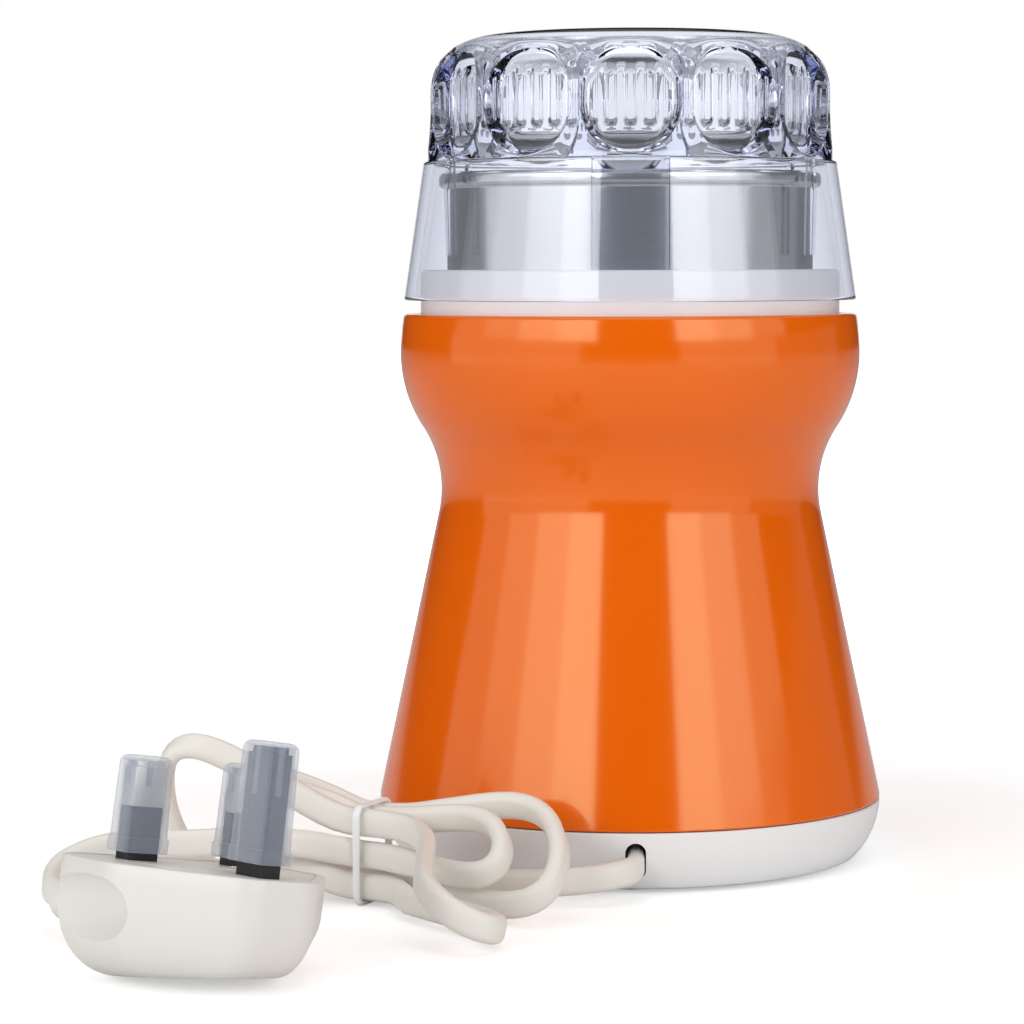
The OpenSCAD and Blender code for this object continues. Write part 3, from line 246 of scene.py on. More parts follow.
plastic("orange_gloss", (242, 103, 4), 0.12, cloud=0.05, cloud_scale=18.0, spread=0.03, bump=0.0,
        specular_ior_level=0.75, specular_tint=(1.0, 0.97, 0.58, 1.0))
plastic("white_gloss", (244, 244, 244), 0.16, cloud=0.03, cloud_scale=25.0, spread=0.05)
plastic("collar_white", (243, 241, 241), 0.24, cloud=0.04, cloud_scale=30.0)
plastic("foot_rubber", (38, 38, 40), 0.7, cloud=0.4, cloud_scale=300.0, bump=0.2)
plastic("black_plastic", (28, 28, 30), 0.42, cloud=0.3, cloud_scale=120.0, bump=0.1)
plastic("red_plastic", (190, 34, 28), 0.35, cloud=0.15)
plastic("white_moulded", (228, 228, 224), 0.4, cloud=0.08, bump=0.06)
plastic("cord_cream", (240, 237, 229), 0.4, cloud=0.06, cloud_scale=70.0, grain=1500.0, bump=0.06)
plastic("wire_brown", (120, 70, 40), 0.4, cloud=0.2)
plastic("tie_white", (247, 247, 248), 0.14, cloud=0.03)
plastic("plug_cream", (234, 231, 224), 0.36, cloud=0.06, cloud_scale=35.0, grain=1300.0, bump=0.05)
plastic("pin_black", (22, 22, 24), 0.38, cloud=0.3, bump=0.08)
plastic("carbon", (30, 30, 32), 0.6, cloud=0.4, cloud_scale=400.0, bump=0.25)
plastic("fuse_ceramic", (236, 232, 222), 0.35, cloud=0.08, bump=0.04)
plastic("copper", (190, 104, 52), 0.36, cloud=0.35, cloud_scale=260.0, grain=1800.0, bump=0.3,
        metallic=0.6)
plastic("lid_clear", (250, 252, 255), 0.012, cloud=0.02, cloud_scale=30.0, spread=0.01, grain=300.0,
        bump=0.004, transmission_weight=1.0, ior=1.49)
plastic("cap_frosted", (196, 208, 230), 0.3, cloud=0.12, cloud_scale=120.0, spread=0.1, grain=2200.0,
        bump=0.08, ior=1.4)
metal("cup_steel", (214, 213, 213), 0.13, contrast=0.14, spread=0.1, bump=0.04)
metal("zinc_steel", (188, 189, 192), 0.28, lines=(400.0, 400.0, 400.0))
metal("spring_steel", (178, 178, 182), 0.3, lines=(900.0, 900.0, 900.0))
metal("blade_steel", (206, 206, 208), 0.18, lines=(60.0, 1800.0, 60.0))
metal("bronze", (186, 140, 78), 0.32, lines=(300.0, 300.0, 300.0))
metal("laminations", (120, 122, 126), 0.42, lines=(20.0, 20.0, 3200.0), contrast=0.6, bump=0.3)
metal("pin_metal", (248, 243, 236), 0.3, lines=(500.0, 500.0, 900.0))
print("finishes", len(FINISH))

# %% [markdown]
# Two finishes need more. The clear lid takes a little colour out of the light inside it, and it must
# not throw the black shadow that a closed clear mesh gives in a path tracer, so light that goes on to
# other pieces passes straight through. A frosted cap is thin: you look through it from the front, and
# along its edges you look through much more of it, where it turns milky.


# %% Clear and frosted plastic
def tint_clear(finish, rgb, density):
    tree = finish.node_tree
    depth = tree.nodes.new("ShaderNodeVolumeAbsorption")
    fill(tree, depth, {"Color": (*rgb, 1), "Density": density})
    feed(tree, tree.nodes["Material Output"].inputs["Volume"], depth.outputs[0])


def let_light_through(finish):
    """Light that falls through clear walls on to other pieces goes straight on."""
    tree = finish.node_tree
    path = tree.nodes.new("ShaderNodeLightPath").outputs
    through = tree.nodes.new("ShaderNodeBsdfTransparent")
    feed(tree, through.inputs["Color"], (0.94, 0.945, 0.955, 1))
    choose = tree.nodes.new("ShaderNodeMixShader")
    feed(tree, choose.inputs["Fac"],
         calc(tree, "MAXIMUM", path["Is Shadow Ray"], path["Is Diffuse Ray"]))
    feed(tree, choose.inputs[1], tree.nodes["Principled BSDF"].outputs[0])
    feed(tree, choose.inputs[2], through.outputs[0])
    feed(tree, tree.nodes["Material Output"].inputs["Surface"], choose.outputs[0])


def milky(finish, face_on, edge_on):
    """Bluish and see-through when faced, milky and warmer at the edges."""
    tree = finish.node_tree
    shader = tree.nodes["Principled BSDF"].inputs
    look = tree.nodes.new("ShaderNodeLayerWeight")
    feed(tree, look.inputs["Blend"], 0.35)
    edge = look.outputs["Facing"]
    colour = shader["Base Color"].links[0].from_socket
    feed(tree, shader["Alpha"], remap(tree, edge, 0.0, 1.0, face_on, edge_on))
    feed(tree, shader["Base Color"], mix(tree, edge, colour, (0.72, 0.69, 0.67, 1)))


tint_clear(FINISH["lid_clear"], (0.45, 0.54, 0.97), 34.0)
let_light_through(FINISH["lid_clear"])
milky(FINISH["cap_frosted"], 0.16, 0.62)
print("lid_clear and cap_frosted completed")

# %% [markdown]
# The mains lead is one flat cord that leaves the base, is folded into a tied hank and ends in the
# plug. Someone drawing it would sketch a curve by hand. Here the route repeats the one in the part's
# source: every run passes straight through the tie, and each loop swings out from it. A loop is given
# by the tie slots it starts and ends in, its reach, its opening, two directions and how far it sags.

# %% Route of the lead
CORD_W, CORD_T = 5.6, 3.5
TIE_AT = Vector((-51.5, -57.0, 0.0))
TIE_TURN = math.radians(-23.0)
TIE_ALONG = Vector((math.cos(TIE_TURN), math.sin(TIE_TURN), 0.0))
TIE_ACROSS = Vector((math.sin(TIE_TURN), -math.cos(TIE_TURN), 0.0))
PLUG_AT = Vector((-79.9, -125.5, 19.8))
PLUG_FRAME = (Matrix.Rotation(math.radians(-50), 3, "Z") @ Matrix.Rotation(math.radians(-1.9), 3, "Y")
              @ Matrix.Rotation(math.radians(-9.3), 3, "X"))
STRAIGHT, STRAIGHT_OUT = 0.35, 0.8
LOOPS = [
    ((0, 0), (0, 2), 33, 6, (-0.97, 0.3, 0.2), (-0.1, 0.2, 1), 0),
    ((0, 2), (1, 0), 43, 12, (0.86, -0.52, 0.06), (0, 0.9, 0.44), 0),
    ((1, 0), (2, 2), 42, 13, (-0.97, 0.04, 0.25), (-0.1, -0.3, 1), 0),
    ((2, 2), (2, 0), 55, 8, (0.46, -0.88, 0.01), (-0.75, -0.4, 0.25), 11),
    ((2, 0), (1, 2), 26, 4, (-0.97, 0.1, 0.26), (-0.1, 0.45, 0.9), 0),
    ((1, 2), (2, 1), 33, 6.5, (0.86, -0.58, 0.02), (0, 0.85, 0.53), 0),
]
BASE_ROUTE = [(1, -36, 8), (1, -46, 7), (1, -53, 6.5), (-0.5, -58.5, 6.3), (-5.5, -62, 5.8),
              (-14, -62.5, 4.9), (-26, -58.5, 4), (-38, -55.5, 3.8)]
PLUG_ROUTE = [(-58.5, -61.8, 11.2), (-65, -65.6, 13), (-75, -69, 14), (-87, -72, 14),
              (-101, -75.5, 14), (-109.4, -81, 11.5), (-111, -88.5, 8.8)]
SLEEVE_X, SLEEVE_Z = (-40, -32), -11
UP = Vector((0.0, 0.0, 1.0))


def in_plug(x, y, z):
    return PLUG_AT + PLUG_FRAME @ Vector((x, y, z))


def tie_slot(q):
    return TIE_AT + TIE_ACROSS * ((q[0] - 1) * (CORD_T + 0.75)) + UP * (
        CORD_W / 2 + 0.9 + (CORD_W + 0.8) * q[1])


def loop_point(loop, t):
    """A point of a loop and the way its wide side faces, for t from 0 to 1."""
    start, stop, reach, opening, out, up, sag = loop
    start, stop = tie_slot(start), tie_slot(stop)
    out, up = Vector(out).normalized(), Vector(up).normalized()
    rise = -1.0 if out.x < 0 else 1.0
    s = math.sin(math.pi * t)
    m = (1 - math.cos(math.pi * t)) / 2
    f = min(1.0, s / (STRAIGHT_OUT if sag > 0 and t < 0.5 else STRAIGHT))
    way = (TIE_ALONG * rise).lerp(out, f * f * (3 - 2 * f))
    p = start.lerp(stop, m) + way * (reach * s)
    p += up * (rise * opening * math.sin(2 * math.pi * t) * s)
    n = out.cross(up).normalized()
    if n.z < 0 or (abs(n.z) < 0.2 and n.y < 0):
        n = -n
    return p - UP * (sag * s * s * (1 - m)), (UP * (1 - s * s) + n * (s * s)).normalized()


def smooth_route(points, per):
    """A curve through the points, with per steps from each to the next."""
    pts = [Vector(p) for p in points]
    out = []
    for i in range(len(pts) - 1):
        b, c = pts[i], pts[i + 1]
        a = pts[i - 1] if i > 0 else 2 * b - c
        d = pts[i + 2] if i + 2 < len(pts) else 2 * c - b
        for k in range(per):
            t = k / per
            out.append(0.5 * (2 * b + (c - a) * t + (2 * a - 5 * b + 4 * c - d) * t * t
                              + (3 * b - a - 3 * c + d) * t * t * t))
    return out + [pts[-1]]


def lead_route(per_loop=48, per_span=8):
    points = smooth_route(BASE_ROUTE + [tie_slot(LOOPS[0][0])], per_span)[:-1]
    wide = [UP] * len(points)
    for loop in LOOPS:
        for i in range(per_loop):
            p, w = loop_point(loop, i / per_loop)
            points.append(p)
            wide.append(w)
    last = smooth_route([tie_slot(LOOPS[-1][1])] + PLUG_ROUTE
                        + [in_plug(x, 0, SLEEVE_Z) for x in SLEEVE_X], per_span)
    plug_up = PLUG_FRAME @ UP
    for i, p in enumerate(last):
        points.append(p)
        wide.append(UP.lerp(plug_up, i / (len(last) - 1)))
    return points, wide


LEAD_POINTS, LEAD_WIDE = lead_route()

# %% [markdown]
# The cord's section is flat with round sides, as pressed out of a die. A curve object with a bevel
# could carry a round cable, but a flat cord must also say which way its wide side faces. So a ring of
# points is set square to the route at each step, and a skin of faces joins the rings.


# %% Sweep the lead
def skin(rings):
    """Corners and faces of a closed skin over rings that have the same number of points."""
    n = len(rings[0])
    faces = [list(range(n)), list(range((len(rings) - 1) * n, len(rings) * n))]
    for i in range(len(rings) - 1):
        for k in range(n):
            j = (k + 1) % n
            faces.append([i * n + k, i * n + j, (i + 1) * n + j, (i + 1) * n + k])
    return [v for ring in rings for v in ring], faces


def mesh_from(name, verts_mm, faces):
    """A mesh in metres whose faces all look outward."""
    mesh = bpy.data.meshes.new(name)
    mesh.from_pydata([(v[0] * MM, v[1] * MM, v[2] * MM) for v in verts_mm], [], faces)
    bm = bmesh.new()
    bm.from_mesh(mesh)
    bmesh.ops.recalc_face_normals(bm, faces=bm.faces)
    bm.to_mesh(mesh)
    bm.free()
    return mesh


def add_piece(name, mesh):
    piece = bpy.data.objects.new(name, mesh)
    bpy.context.scene.collection.objects.link(piece)
    return piece


def soften(mesh, angle):
    mesh.polygons.foreach_set("use_smooth", [True] * len(mesh.polygons))
    mesh.set_sharp_from_angle(angle=math.radians(angle))
    mesh.update()


def take_place(piece, finish, body, *nodes):
    """Gives a piece its finish and body, in place of these CAD nodes."""
    piece.data.materials.clear()
    piece.data.materials.append(FINISH[finish])
    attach(piece, body)
    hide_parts(*nodes)
    print(piece.name, len(piece.data.polygons), "faces")
    return piece


def flat_section(n):
    out = []
    for k in range(n):
        a = 2 * math.pi * (k + 0.5) / n
        side = 1 if math.cos(a) > 0 else -1
        out.append((side * (CORD_W - CORD_T) / 2 + CORD_T / 2 * math.cos(a),
                    CORD_T / 2 * math.sin(a)))
    return out


def sweep(points, wide, section):
    rings = []
    last = len(points) - 1
    for i, p in enumerate(points):
        t = (points[min(i + 1, last)] - points[max(i - 1, 0)]).normalized()
        w = (wide[i] - t * wide[i].dot(t)).normalized()
        s = t.cross(w)
        rings.append([p + w * x + s * y for x, y in section])
    return skin(rings)


lead = add_piece("mains_lead", mesh_from("mains_lead",
                                         *sweep(LEAD_POINTS, LEAD_WIDE, flat_section(20))))
soften(lead.data, 50)
take_place(lead, "cord_cream", "grinder", "cord_base_stretch", "cord_hank", "cord_plug_stretch")

# %% [markdown]
# The plug is moulded in one piece: upright walls under the face, a belly that rounds into the back, a
# finger hollow on each side, and pockets for the pins and the fuse. A box with a bevel wouldn't give
# the belly, so rings of its outline are skinned from the back to the face. Each outline is drawn
# round six circles, three on each side. Boolean cutters then take out the hollows and pockets.

# %% Plug shell
PLUG_TOP = [(-3.5, 15.5, 7.5), (8, 15, 8), (24, 3.5, 7)]
PLUG_BACK = [(0, 7, 4), (9, 6.5, 4.5), (19, 2.5, 5)]
PLUG_DEPTH, WALL_DEPTH, FACE_T, FACE_RIM = 18.0, 7, 1.5, 1.6
TABLE_SIDE, LIFT_FROM, LIFT_SLOPE = 11, -130.0, 0.18
BELLY_STEPS = 30
PIN_Y, EARTH_X = 11.1, 22.2
FLAT_PIN, EARTH_PIN, PIN_ROOM = (3.98, 6.35), (8.0, 4.0), 0.1


def plug_ring(circles, inset, z, n=144):
    """Outline round circles given as x, y, radius, at height z of the plug's own frame."""
    out = []
    for k in range(n):
        a = 2 * math.pi * (k + 0.5) / n
        u = (math.cos(a), math.sin(a))
        both = [(x, side * y, r - inset) for x, y, r in circles for side in (-1, 1)]
        x, y, r = max(both, key=lambda c: c[0] * u[0] + c[1] * u[1] + c[2])
        out.append((x + r * u[0], y + r * u[1], z))
    return out


def plug_back(x, y):
    """Depth of the back below the face. It lies flat on the table and its near edge turns up."""
    across, along, upright = PLUG_FRAME[2]
    flat = PLUG_DEPTH + (across * x + along * (y - TABLE_SIDE)) / upright
    return flat - max(0.0, LIFT_SLOPE * (LIFT_FROM - in_plug(x, y, -PLUG_DEPTH).y))


def turns(n):
    return [2 * math.pi * k / n for k in range(n)]


def box_part(x, y, dx, dy, z0, z1):
    corners = ((-1, -1), (1, -1), (1, 1), (-1, 1))
    return skin([[(x + a * dx / 2, y + b * dy / 2, z) for a, b in corners] for z in (z0, z1)])


def ball_part(c, size, n=48):
    rings = []
    for i in range(1, n // 2):
        b = math.pi * i / (n // 2)
        rings.append([(c[0] + size[0] * math.sin(b) * math.cos(a),
                       c[1] + size[1] * math.sin(b) * math.sin(a),
                       c[2] + size[2] * math.cos(b)) for a in turns(n)])
    return skin(rings)


def tube_part(x0, x1, z, r, n=48):
    return skin([[(x, r * math.cos(a), z + r * math.sin(a)) for a in turns(n)] for x in (x0, x1)])


def joined(parts):
    verts, faces = [], []
    for v, f in parts:
        faces += [[k + len(verts) for k in ring] for ring in f]
        verts += v
    return verts, faces


def plug_mesh(name, parts):
    verts, faces = joined(parts)
    return mesh_from(name, [in_plug(*v) for v in verts], faces)


def settle(piece):
    """Applies the modifiers of a piece and leaves it a plain mesh."""
    graph = bpy.context.evaluated_depsgraph_get()
    mesh = bpy.data.meshes.new_from_object(piece.evaluated_get(graph))
    mesh.name = piece.name
    piece.modifiers.clear()
    piece.data = mesh
    return piece


def cut_away(piece, cutter_meshes):
    for k, mesh in enumerate(cutter_meshes):
        cutter = add_piece("cutter_%d" % k, mesh)
        boolean = piece.modifiers.new("cut", "BOOLEAN")
        boolean.operation = "DIFFERENCE"
        boolean.solver = "EXACT"
        boolean.object = cutter
        settle(piece)
        bpy.data.objects.remove(cutter)


def belly_row(t):
    """One ring of the belly: t is a right angle at the back and 0 where the upright wall starts."""
    f = 1 - math.cos(t)
    mixed = [tuple(a + (b - a) * f for a, b in zip(p, q)) for p, q in zip(PLUG_TOP, PLUG_BACK)]
    return [(x, y, -WALL_DEPTH - (plug_back(x, y) - WALL_DEPTH) * math.sin(t))
            for x, y, z in plug_ring(mixed, 0.0, 0.0)]


rows = [belly_row(math.radians(90 - 90 * k / BELLY_STEPS)) for k in range(BELLY_STEPS + 1)]
for inset, z in ((0.0, -3.0), (0.0, -0.5), (0.15, -0.15), (0.5, 0.0), (FACE_RIM, 0.0),
                 (FACE_RIM, -FACE_T)):
    rows.append(plug_ring(PLUG_TOP, inset, z))
plug_shell = add_piece("plug_shell", plug_mesh("plug_shell", [skin(rows)]))
cuts = [ball_part((4.5, side * 24.8, -9), (17.5, 5.2, 6.8)) for side in (-1, 1)]
for x, y, pin in ((0, -PIN_Y, FLAT_PIN), (0, PIN_Y, FLAT_PIN), (EARTH_X, 0, EARTH_PIN)):
    cuts.append(box_part(x, y, pin[0] + PIN_ROOM, pin[1] + PIN_ROOM, -7, 1))
cuts += [box_part(10, 0, 9.3, 27.5, -9.8, 1), tube_part(-20, -6, SLEEVE_Z, 4.45)]
cut_away(plug_shell, [plug_mesh("plug_cuts", cuts)])
soften(plug_shell.data, 24)
take_place(plug_shell, "plug_cream", "grinder", "plug_body")

# %% [markdown]
# The tie, the face plate, the ribbed sleeve, the pins and the fuse carrier are simple forms that the
# CAD solids already have. Building them again would only risk errors. A dressed copy takes the CAD
# mesh, joins its loose triangles, rounds its edges and gives it soft shading. The small rounding is
# what catches the light on the real thing.


# %% Tie and pins
def plain_copy(node, name):
    """A merged copy of a CAD node's mesh, with flat faces joined."""
    source = NODES[node].data
    mesh = bpy.data.meshes.new(name)
    mesh.from_pydata([v.co for v in source.vertices], [], [p.vertices for p in source.polygons])
    bm = bmesh.new()
    bm.from_mesh(mesh)
    bmesh.ops.remove_doubles(bm, verts=bm.verts, dist=2e-6)
    bmesh.ops.dissolve_limit(bm, angle_limit=math.radians(0.4), verts=bm.verts, edges=bm.edges)
    bm.to_mesh(mesh)
    bm.free()
    return mesh


def round_edges(piece, width_mm):
    bevel = piece.modifiers.new("rounded_edges", "BEVEL")
    bevel.width = width_mm * MM
    bevel.segments = 3
    bevel.limit_method = "ANGLE"
    bevel.angle_limit = math.radians(40)
    settle(piece)


def dressed_copy(node, name, finish, body, edge_mm=0.0, angle=35):
    piece = add_piece(name, plain_copy(node, name))
    if edge_mm > 0:
        round_edges(piece, edge_mm)
    soften(piece.data, angle)
    return take_place(piece, finish, body, node)


tie = dressed_copy("cord_tie", "hank_tie", "tie_white", "grinder", edge_mm=0.3)
plug_face = dressed_copy("plug_face_plate", "plug_face", "plug_cream", "grinder")
plug_sleeve = dressed_copy("plug_strain_relief", "plug_sleeve", "cord_cream", "grinder", angle=50)
live_pin = dressed_copy("plug_live_pin", "live_pin", "pin_metal", "grinder", edge_mm=0.15)
neutral_pin = dressed_copy("plug_neutral_pin", "neutral_pin", "pin_metal", "grinder", edge_mm=0.15)
earth_pin = dressed_copy("plug_earth_pin", "earth_pin", "pin_black", "grinder", edge_mm=0.2)
sleeves = dressed_copy("pin_sleeves", "pin_black_sleeves", "pin_black", "grinder", edge_mm=0.1)
carrier = dressed_copy("fuse_carrier", "fuse_drawer_front", "plug_cream", "fuse_drawer", edge_mm=0.2)

# %% [markdown]
# A travel cap is a thin frosted hood that is pushed over a pin. It has a collar at its foot, a round
# top and two fine bars inside. A Solidify modifier on a box would give the wall but not the collar,
# so the skin goes down the inside and up the outside in rings. Each cap rides on its own body.

# %% Travel caps
CAP_ROOM, CAP_WIDE, CAP_CORNER, CAP_TOP = 0.3, 1.35, 1.2, 1.5
CAPS = {"live": (0, -PIN_Y, FLAT_PIN, 1.4, 17.7, 17.8, 4.6),
        "neutral": (0, PIN_Y, FLAT_PIN, 1.4, 17.7, 17.8, 4.6),
        "earth": (EARTH_X, 0, EARTH_PIN, 2.3, 22.73, 22.8, 8.5)}


def cap_ring(x, y, pin, grow, r, z):
    """A rectangle with round corners, larger than the pin by grow on each side."""
    out = []
    for k in range(32):
        a = 2 * math.pi * (k + 0.5) / 32
        u, v = math.cos(a), math.sin(a)
        out.append((x + math.copysign(pin[0] / 2 + grow - r, u) + r * u,
                    y + math.copysign(pin[1] / 2 + grow - r, v) + r * v, z))
    return out


def cap_parts(x, y, pin, low, tip, bar_top, bar_long):
    rings = [cap_ring(x, y, pin, CAP_ROOM, 0.15, z) for z in (tip + CAP_ROOM, low)]
    for grow, z in ((0.05, 0.0), (0.2, 0.15), (0.2, 2.45), (0.1, 2.6), (-0.04, 2.65), (-0.05, 3.2)):
        rings.append(cap_ring(x, y, pin, CAP_WIDE + grow, CAP_CORNER, low + z))
    for k in range(9):
        a = math.radians(90 * k / 8)
        draw_in = 1 - math.cos(a)
        rings.append(cap_ring(x, y, pin, CAP_WIDE - 0.25 - CAP_TOP * draw_in,
                              CAP_CORNER - 0.9 * draw_in,
                              tip + 0.9 - CAP_TOP + CAP_TOP * math.sin(a)))
    bar_low = bar_top - bar_long
    return [skin(rings), box_part(x - 0.5, y - pin[1] / 2 - 0.2, 1.1, 0.3, bar_low, bar_top),
            box_part(x + pin[0] / 2 + 0.2, y - 0.5, 0.3, 1.1, bar_low, bar_top)]


for pin, sizes in CAPS.items():
    cap = add_piece(pin + "_travel_cap", plug_mesh(pin + "_travel_cap", cap_parts(*sizes)))
    soften(cap.data, 35)
    take_place(cap, "cap_frosted", pin + "_cap", "cap_" + pin)

# %% [markdown]
# The orange shell is a smooth hourglass: a cone that runs into the waist, a bulge above it and a small
# rounded top edge. A lathe turns a flat outline round the upright axis, as a potter would. Blender's
# Screw modifier could do this, but code gives exact rings and clean poles. The gloss shows every
# ripple, so the outline is made of arcs with many more steps than the CAD mesh has. The inside
# carries the four screw posts.

# %% Orange shell
SEAM_Z, SEAM_R, BODY_H, SHELL_WALL = 13.4, 53.75, 116.6, 2.4
WAIST_C, WAIST_R = (64.595, 79.3), 24.195
BULGE_C, BULGE_LOW_R = (20.0, 108.3), 29.0
BULGE_TOP_C, BULGE_TOP_R = (1.0, 108.3), 48.0
CONE_A, JOIN_A, TOP_A = 101.89, 146.965, 8.866
TOP_R = BULGE_TOP_C[0] + BULGE_TOP_R * math.cos(math.radians(TOP_A))
EDGE_R, COLLAR_HOLE_R = 0.9, 45.0
CONE_STEPS = 12


def arc(c, r, a0, a1, n):
    out = []
    for i in range(n + 1):
        a = math.radians(a0 + (a1 - a0) * i / n)
        out.append((c[0] + r * math.cos(a), c[1] + r * math.sin(a)))
    return out


def lathe(name, outline, steps=192):
    """Turns a closed outline of (radius, height) in mm round Z."""
    verts = []
    rows = []
    for r, z in outline:
        if r < 1e-6:
            rows.append([len(verts)] * steps)
            verts.append((0.0, 0.0, z))
            continue
        first = len(verts)
        for k in range(steps):
            a = 2 * math.pi * (k + 0.5) / steps
            verts.append((r * math.cos(a), r * math.sin(a), z))
        rows.append(list(range(first, first + steps)))
    faces = []
    for i in range(len(rows)):
        low, high = rows[i], rows[(i + 1) % len(rows)]
        for k in range(steps):
            quad = [low[k], low[(k + 1) % steps], high[(k + 1) % steps], high[k]]
            ring = list(dict.fromkeys(quad))
            if len(ring) > 2:
                faces.append(ring)
    return mesh_from(name, verts, faces)


def round_spots(r, degrees):
    return [(r * math.cos(math.radians(a)), r * math.sin(math.radians(a))) for a in degrees]


def posts(name, spots, r, z0, z1, n=24):
    """Upright round bars at these spots."""
    return mesh_from(name, *joined([
        skin([[(x + r * math.cos(a), y + r * math.sin(a), z) for a in turns(n)] for z in (z0, z1)])
        for x, y in spots]))


def join_into(piece, mesh):
    bm = bmesh.new()
    bm.from_mesh(piece.data)
    bm.from_mesh(mesh)
    bm.to_mesh(piece.data)
    bm.free()


shell_wave = (arc(WAIST_C, WAIST_R, CONE_A + 90, JOIN_A, 40)
              + arc(BULGE_C, BULGE_LOW_R, JOIN_A - 180, 0, 26)[1:]
              + arc(BULGE_TOP_C, BULGE_TOP_R, 0, TOP_A, 8)[1:])
cone_r, cone_z = shell_wave[0]
cone_low = SEAM_Z + 0.35
cone = [(SEAM_R + (cone_r - SEAM_R) * t / CONE_STEPS, cone_low + (cone_z - cone_low) * t / CONE_STEPS)
        for t in range(1, CONE_STEPS)]
shell_edge = arc((TOP_R - EDGE_R, BODY_H - EDGE_R), EDGE_R, TOP_A, 90, 6)
shell_in = [(r - SHELL_WALL, z) for r, z in cone + shell_wave if z < BODY_H - 3.6]
outline = ([(SEAM_R - SHELL_WALL, SEAM_Z), (SEAM_R - 0.2, SEAM_Z), (SEAM_R, SEAM_Z + 0.3)]
           + cone + shell_wave + shell_edge[1:]
           + [(COLLAR_HOLE_R, BODY_H), (COLLAR_HOLE_R, BODY_H - SHELL_WALL),
              (TOP_R - 2.1, BODY_H - SHELL_WALL)] + shell_in[::-1])
shell = add_piece("orange_shell", lathe("orange_shell", outline, 240))
SCREW_SPOTS = round_spots(42.0, (45, 135, 225, 315))
join_into(shell, posts("posts", SCREW_SPOTS, 3.8, SEAM_Z, SEAM_Z + 16))
soften(shell.data, 30)
take_place(shell, "orange_gloss", "grinder", "housing_shell")

# %% [markdown]
# The white base is a shallow bowl with a rounded lower edge. The lead leaves through an upright slot,
# and the underside has cooling vents, screw holes and sockets for the feet. The bowl is turned on the
# lathe and the openings are cut with Boolean cutters, as a toolmaker would put pins in the mould.

# %% White base
BASE_TOP, BASE_EDGE_R, BASE_WALL = 13.15, 17.0, 4.0
FLOOR_LOW, FLOOR_HIGH = 0.8, 3.2
base_side = arc((SEAM_R - BASE_EDGE_R, BASE_TOP), BASE_EDGE_R, -46.6, 0, 22)
base_out = ([(0.0, FLOOR_LOW), (20.0, FLOOR_LOW), (47.6, FLOOR_LOW)] + base_side[1:-1]
            + [(SEAM_R, BASE_TOP - 0.3), (SEAM_R - 0.25, BASE_TOP)])
base_in = [(50.6, BASE_TOP), (50.6, BASE_TOP + 3.0), (49.1, BASE_TOP + 3.0)]
base_in += [(r - BASE_WALL, z) for r, z in base_side[::-1] if 3.8 < z < BASE_TOP - 0.5]
base_in += [(44.0, FLOOR_HIGH), (20.0, FLOOR_HIGH), (0.0, FLOOR_HIGH)]
base = add_piece("white_base", lathe("white_base", base_out + base_in))


def slot_cutter(name, x, z, w, h, y0, y1, n=24):
    """A bar along Y with a round top and bottom."""
    ring = []
    for k in range(2 * n):
        a = math.pi * k / n
        lift = (h - w) / 2 if k < n else -(h - w) / 2
        ring.append((x + w / 2 * math.cos(a), z + lift + w / 2 * math.sin(a)))
    return mesh_from(name, *skin([[(p, y, q) for p, q in ring] for y in (y0, y1)]))


def vent_cutter(name, count):
    parts = []
    for k in range(count):
        a = 2 * math.pi * (k + 0.5) / count
        c, s = math.cos(a), math.sin(a)
        bar = [(x * c - y * s, x * s + y * c) for x, y in ((21, -1.3), (32, -1.3), (32, 1.3), (21, 1.3))]
        parts.append(skin([[(x, y, z) for x, y in bar] for z in (0.0, 4.4)]))
    return mesh_from(name, *joined(parts))


cut_away(base, [slot_cutter("lead_slot", 1.0, 7.25, CORD_T + 0.7, CORD_W + 2.2, -56.0, -44.0),
                vent_cutter("vents", 12),
                posts("screw_holes", SCREW_SPOTS, 3.2, 0.0, 5.0, 32),
                posts("foot_sockets", round_spots(39.0, (0, 90, 180, 270)), 5.1, 0.0, 2.0, 40)])
soften(base.data, 32)
take_place(base, "white_gloss", "grinder", "base_cover")
dressed_copy("rubber_feet", "rubber_pads", "foot_rubber", "grinder", edge_mm=0.3)

# %% [markdown]
# The collar is the white ring that the lid slides over. It has two narrow slots that let the lid's
# tongues reach the switch inside. The steel cup stands in it: a thin drawn cup with a rolled rim. Both
# are turned on the lathe, because a rolled rim is only a few arcs in the outline. Extra rings on the
# cup's straight wall keep its soft shading from bending at the rim.

# %% Collar and cup
COLLAR_TOP, RIM_TOP, CUP_UNDER = 125.8, 146.2, 105.2
COLLAR_IN, TUB_R, TUB_LOW = 39.4, 40.8, 102.4
LIP_R, LIP_HIGH, LIP_LOW = TOP_R - 2.8, BODY_H - 2.7, BODY_H - 5.0
collar_outline = ([(COLLAR_IN, COLLAR_TOP - 0.3), (39.7, COLLAR_TOP)]
                  + arc((43.9, COLLAR_TOP - 0.8), 0.8, 90, 0, 8)
                  + [(44.7, LIP_HIGH), (LIP_R, LIP_HIGH), (LIP_R, LIP_LOW), (43.1, LIP_LOW),
                     (43.1, COLLAR_TOP - 2.2), (TUB_R, COLLAR_TOP - 2.2), (TUB_R, TUB_LOW),
                     (12.0, TUB_LOW), (12.0, 105.0), (COLLAR_IN, 105.0)])
collar = add_piece("collar_ring", lathe("collar_ring", collar_outline))


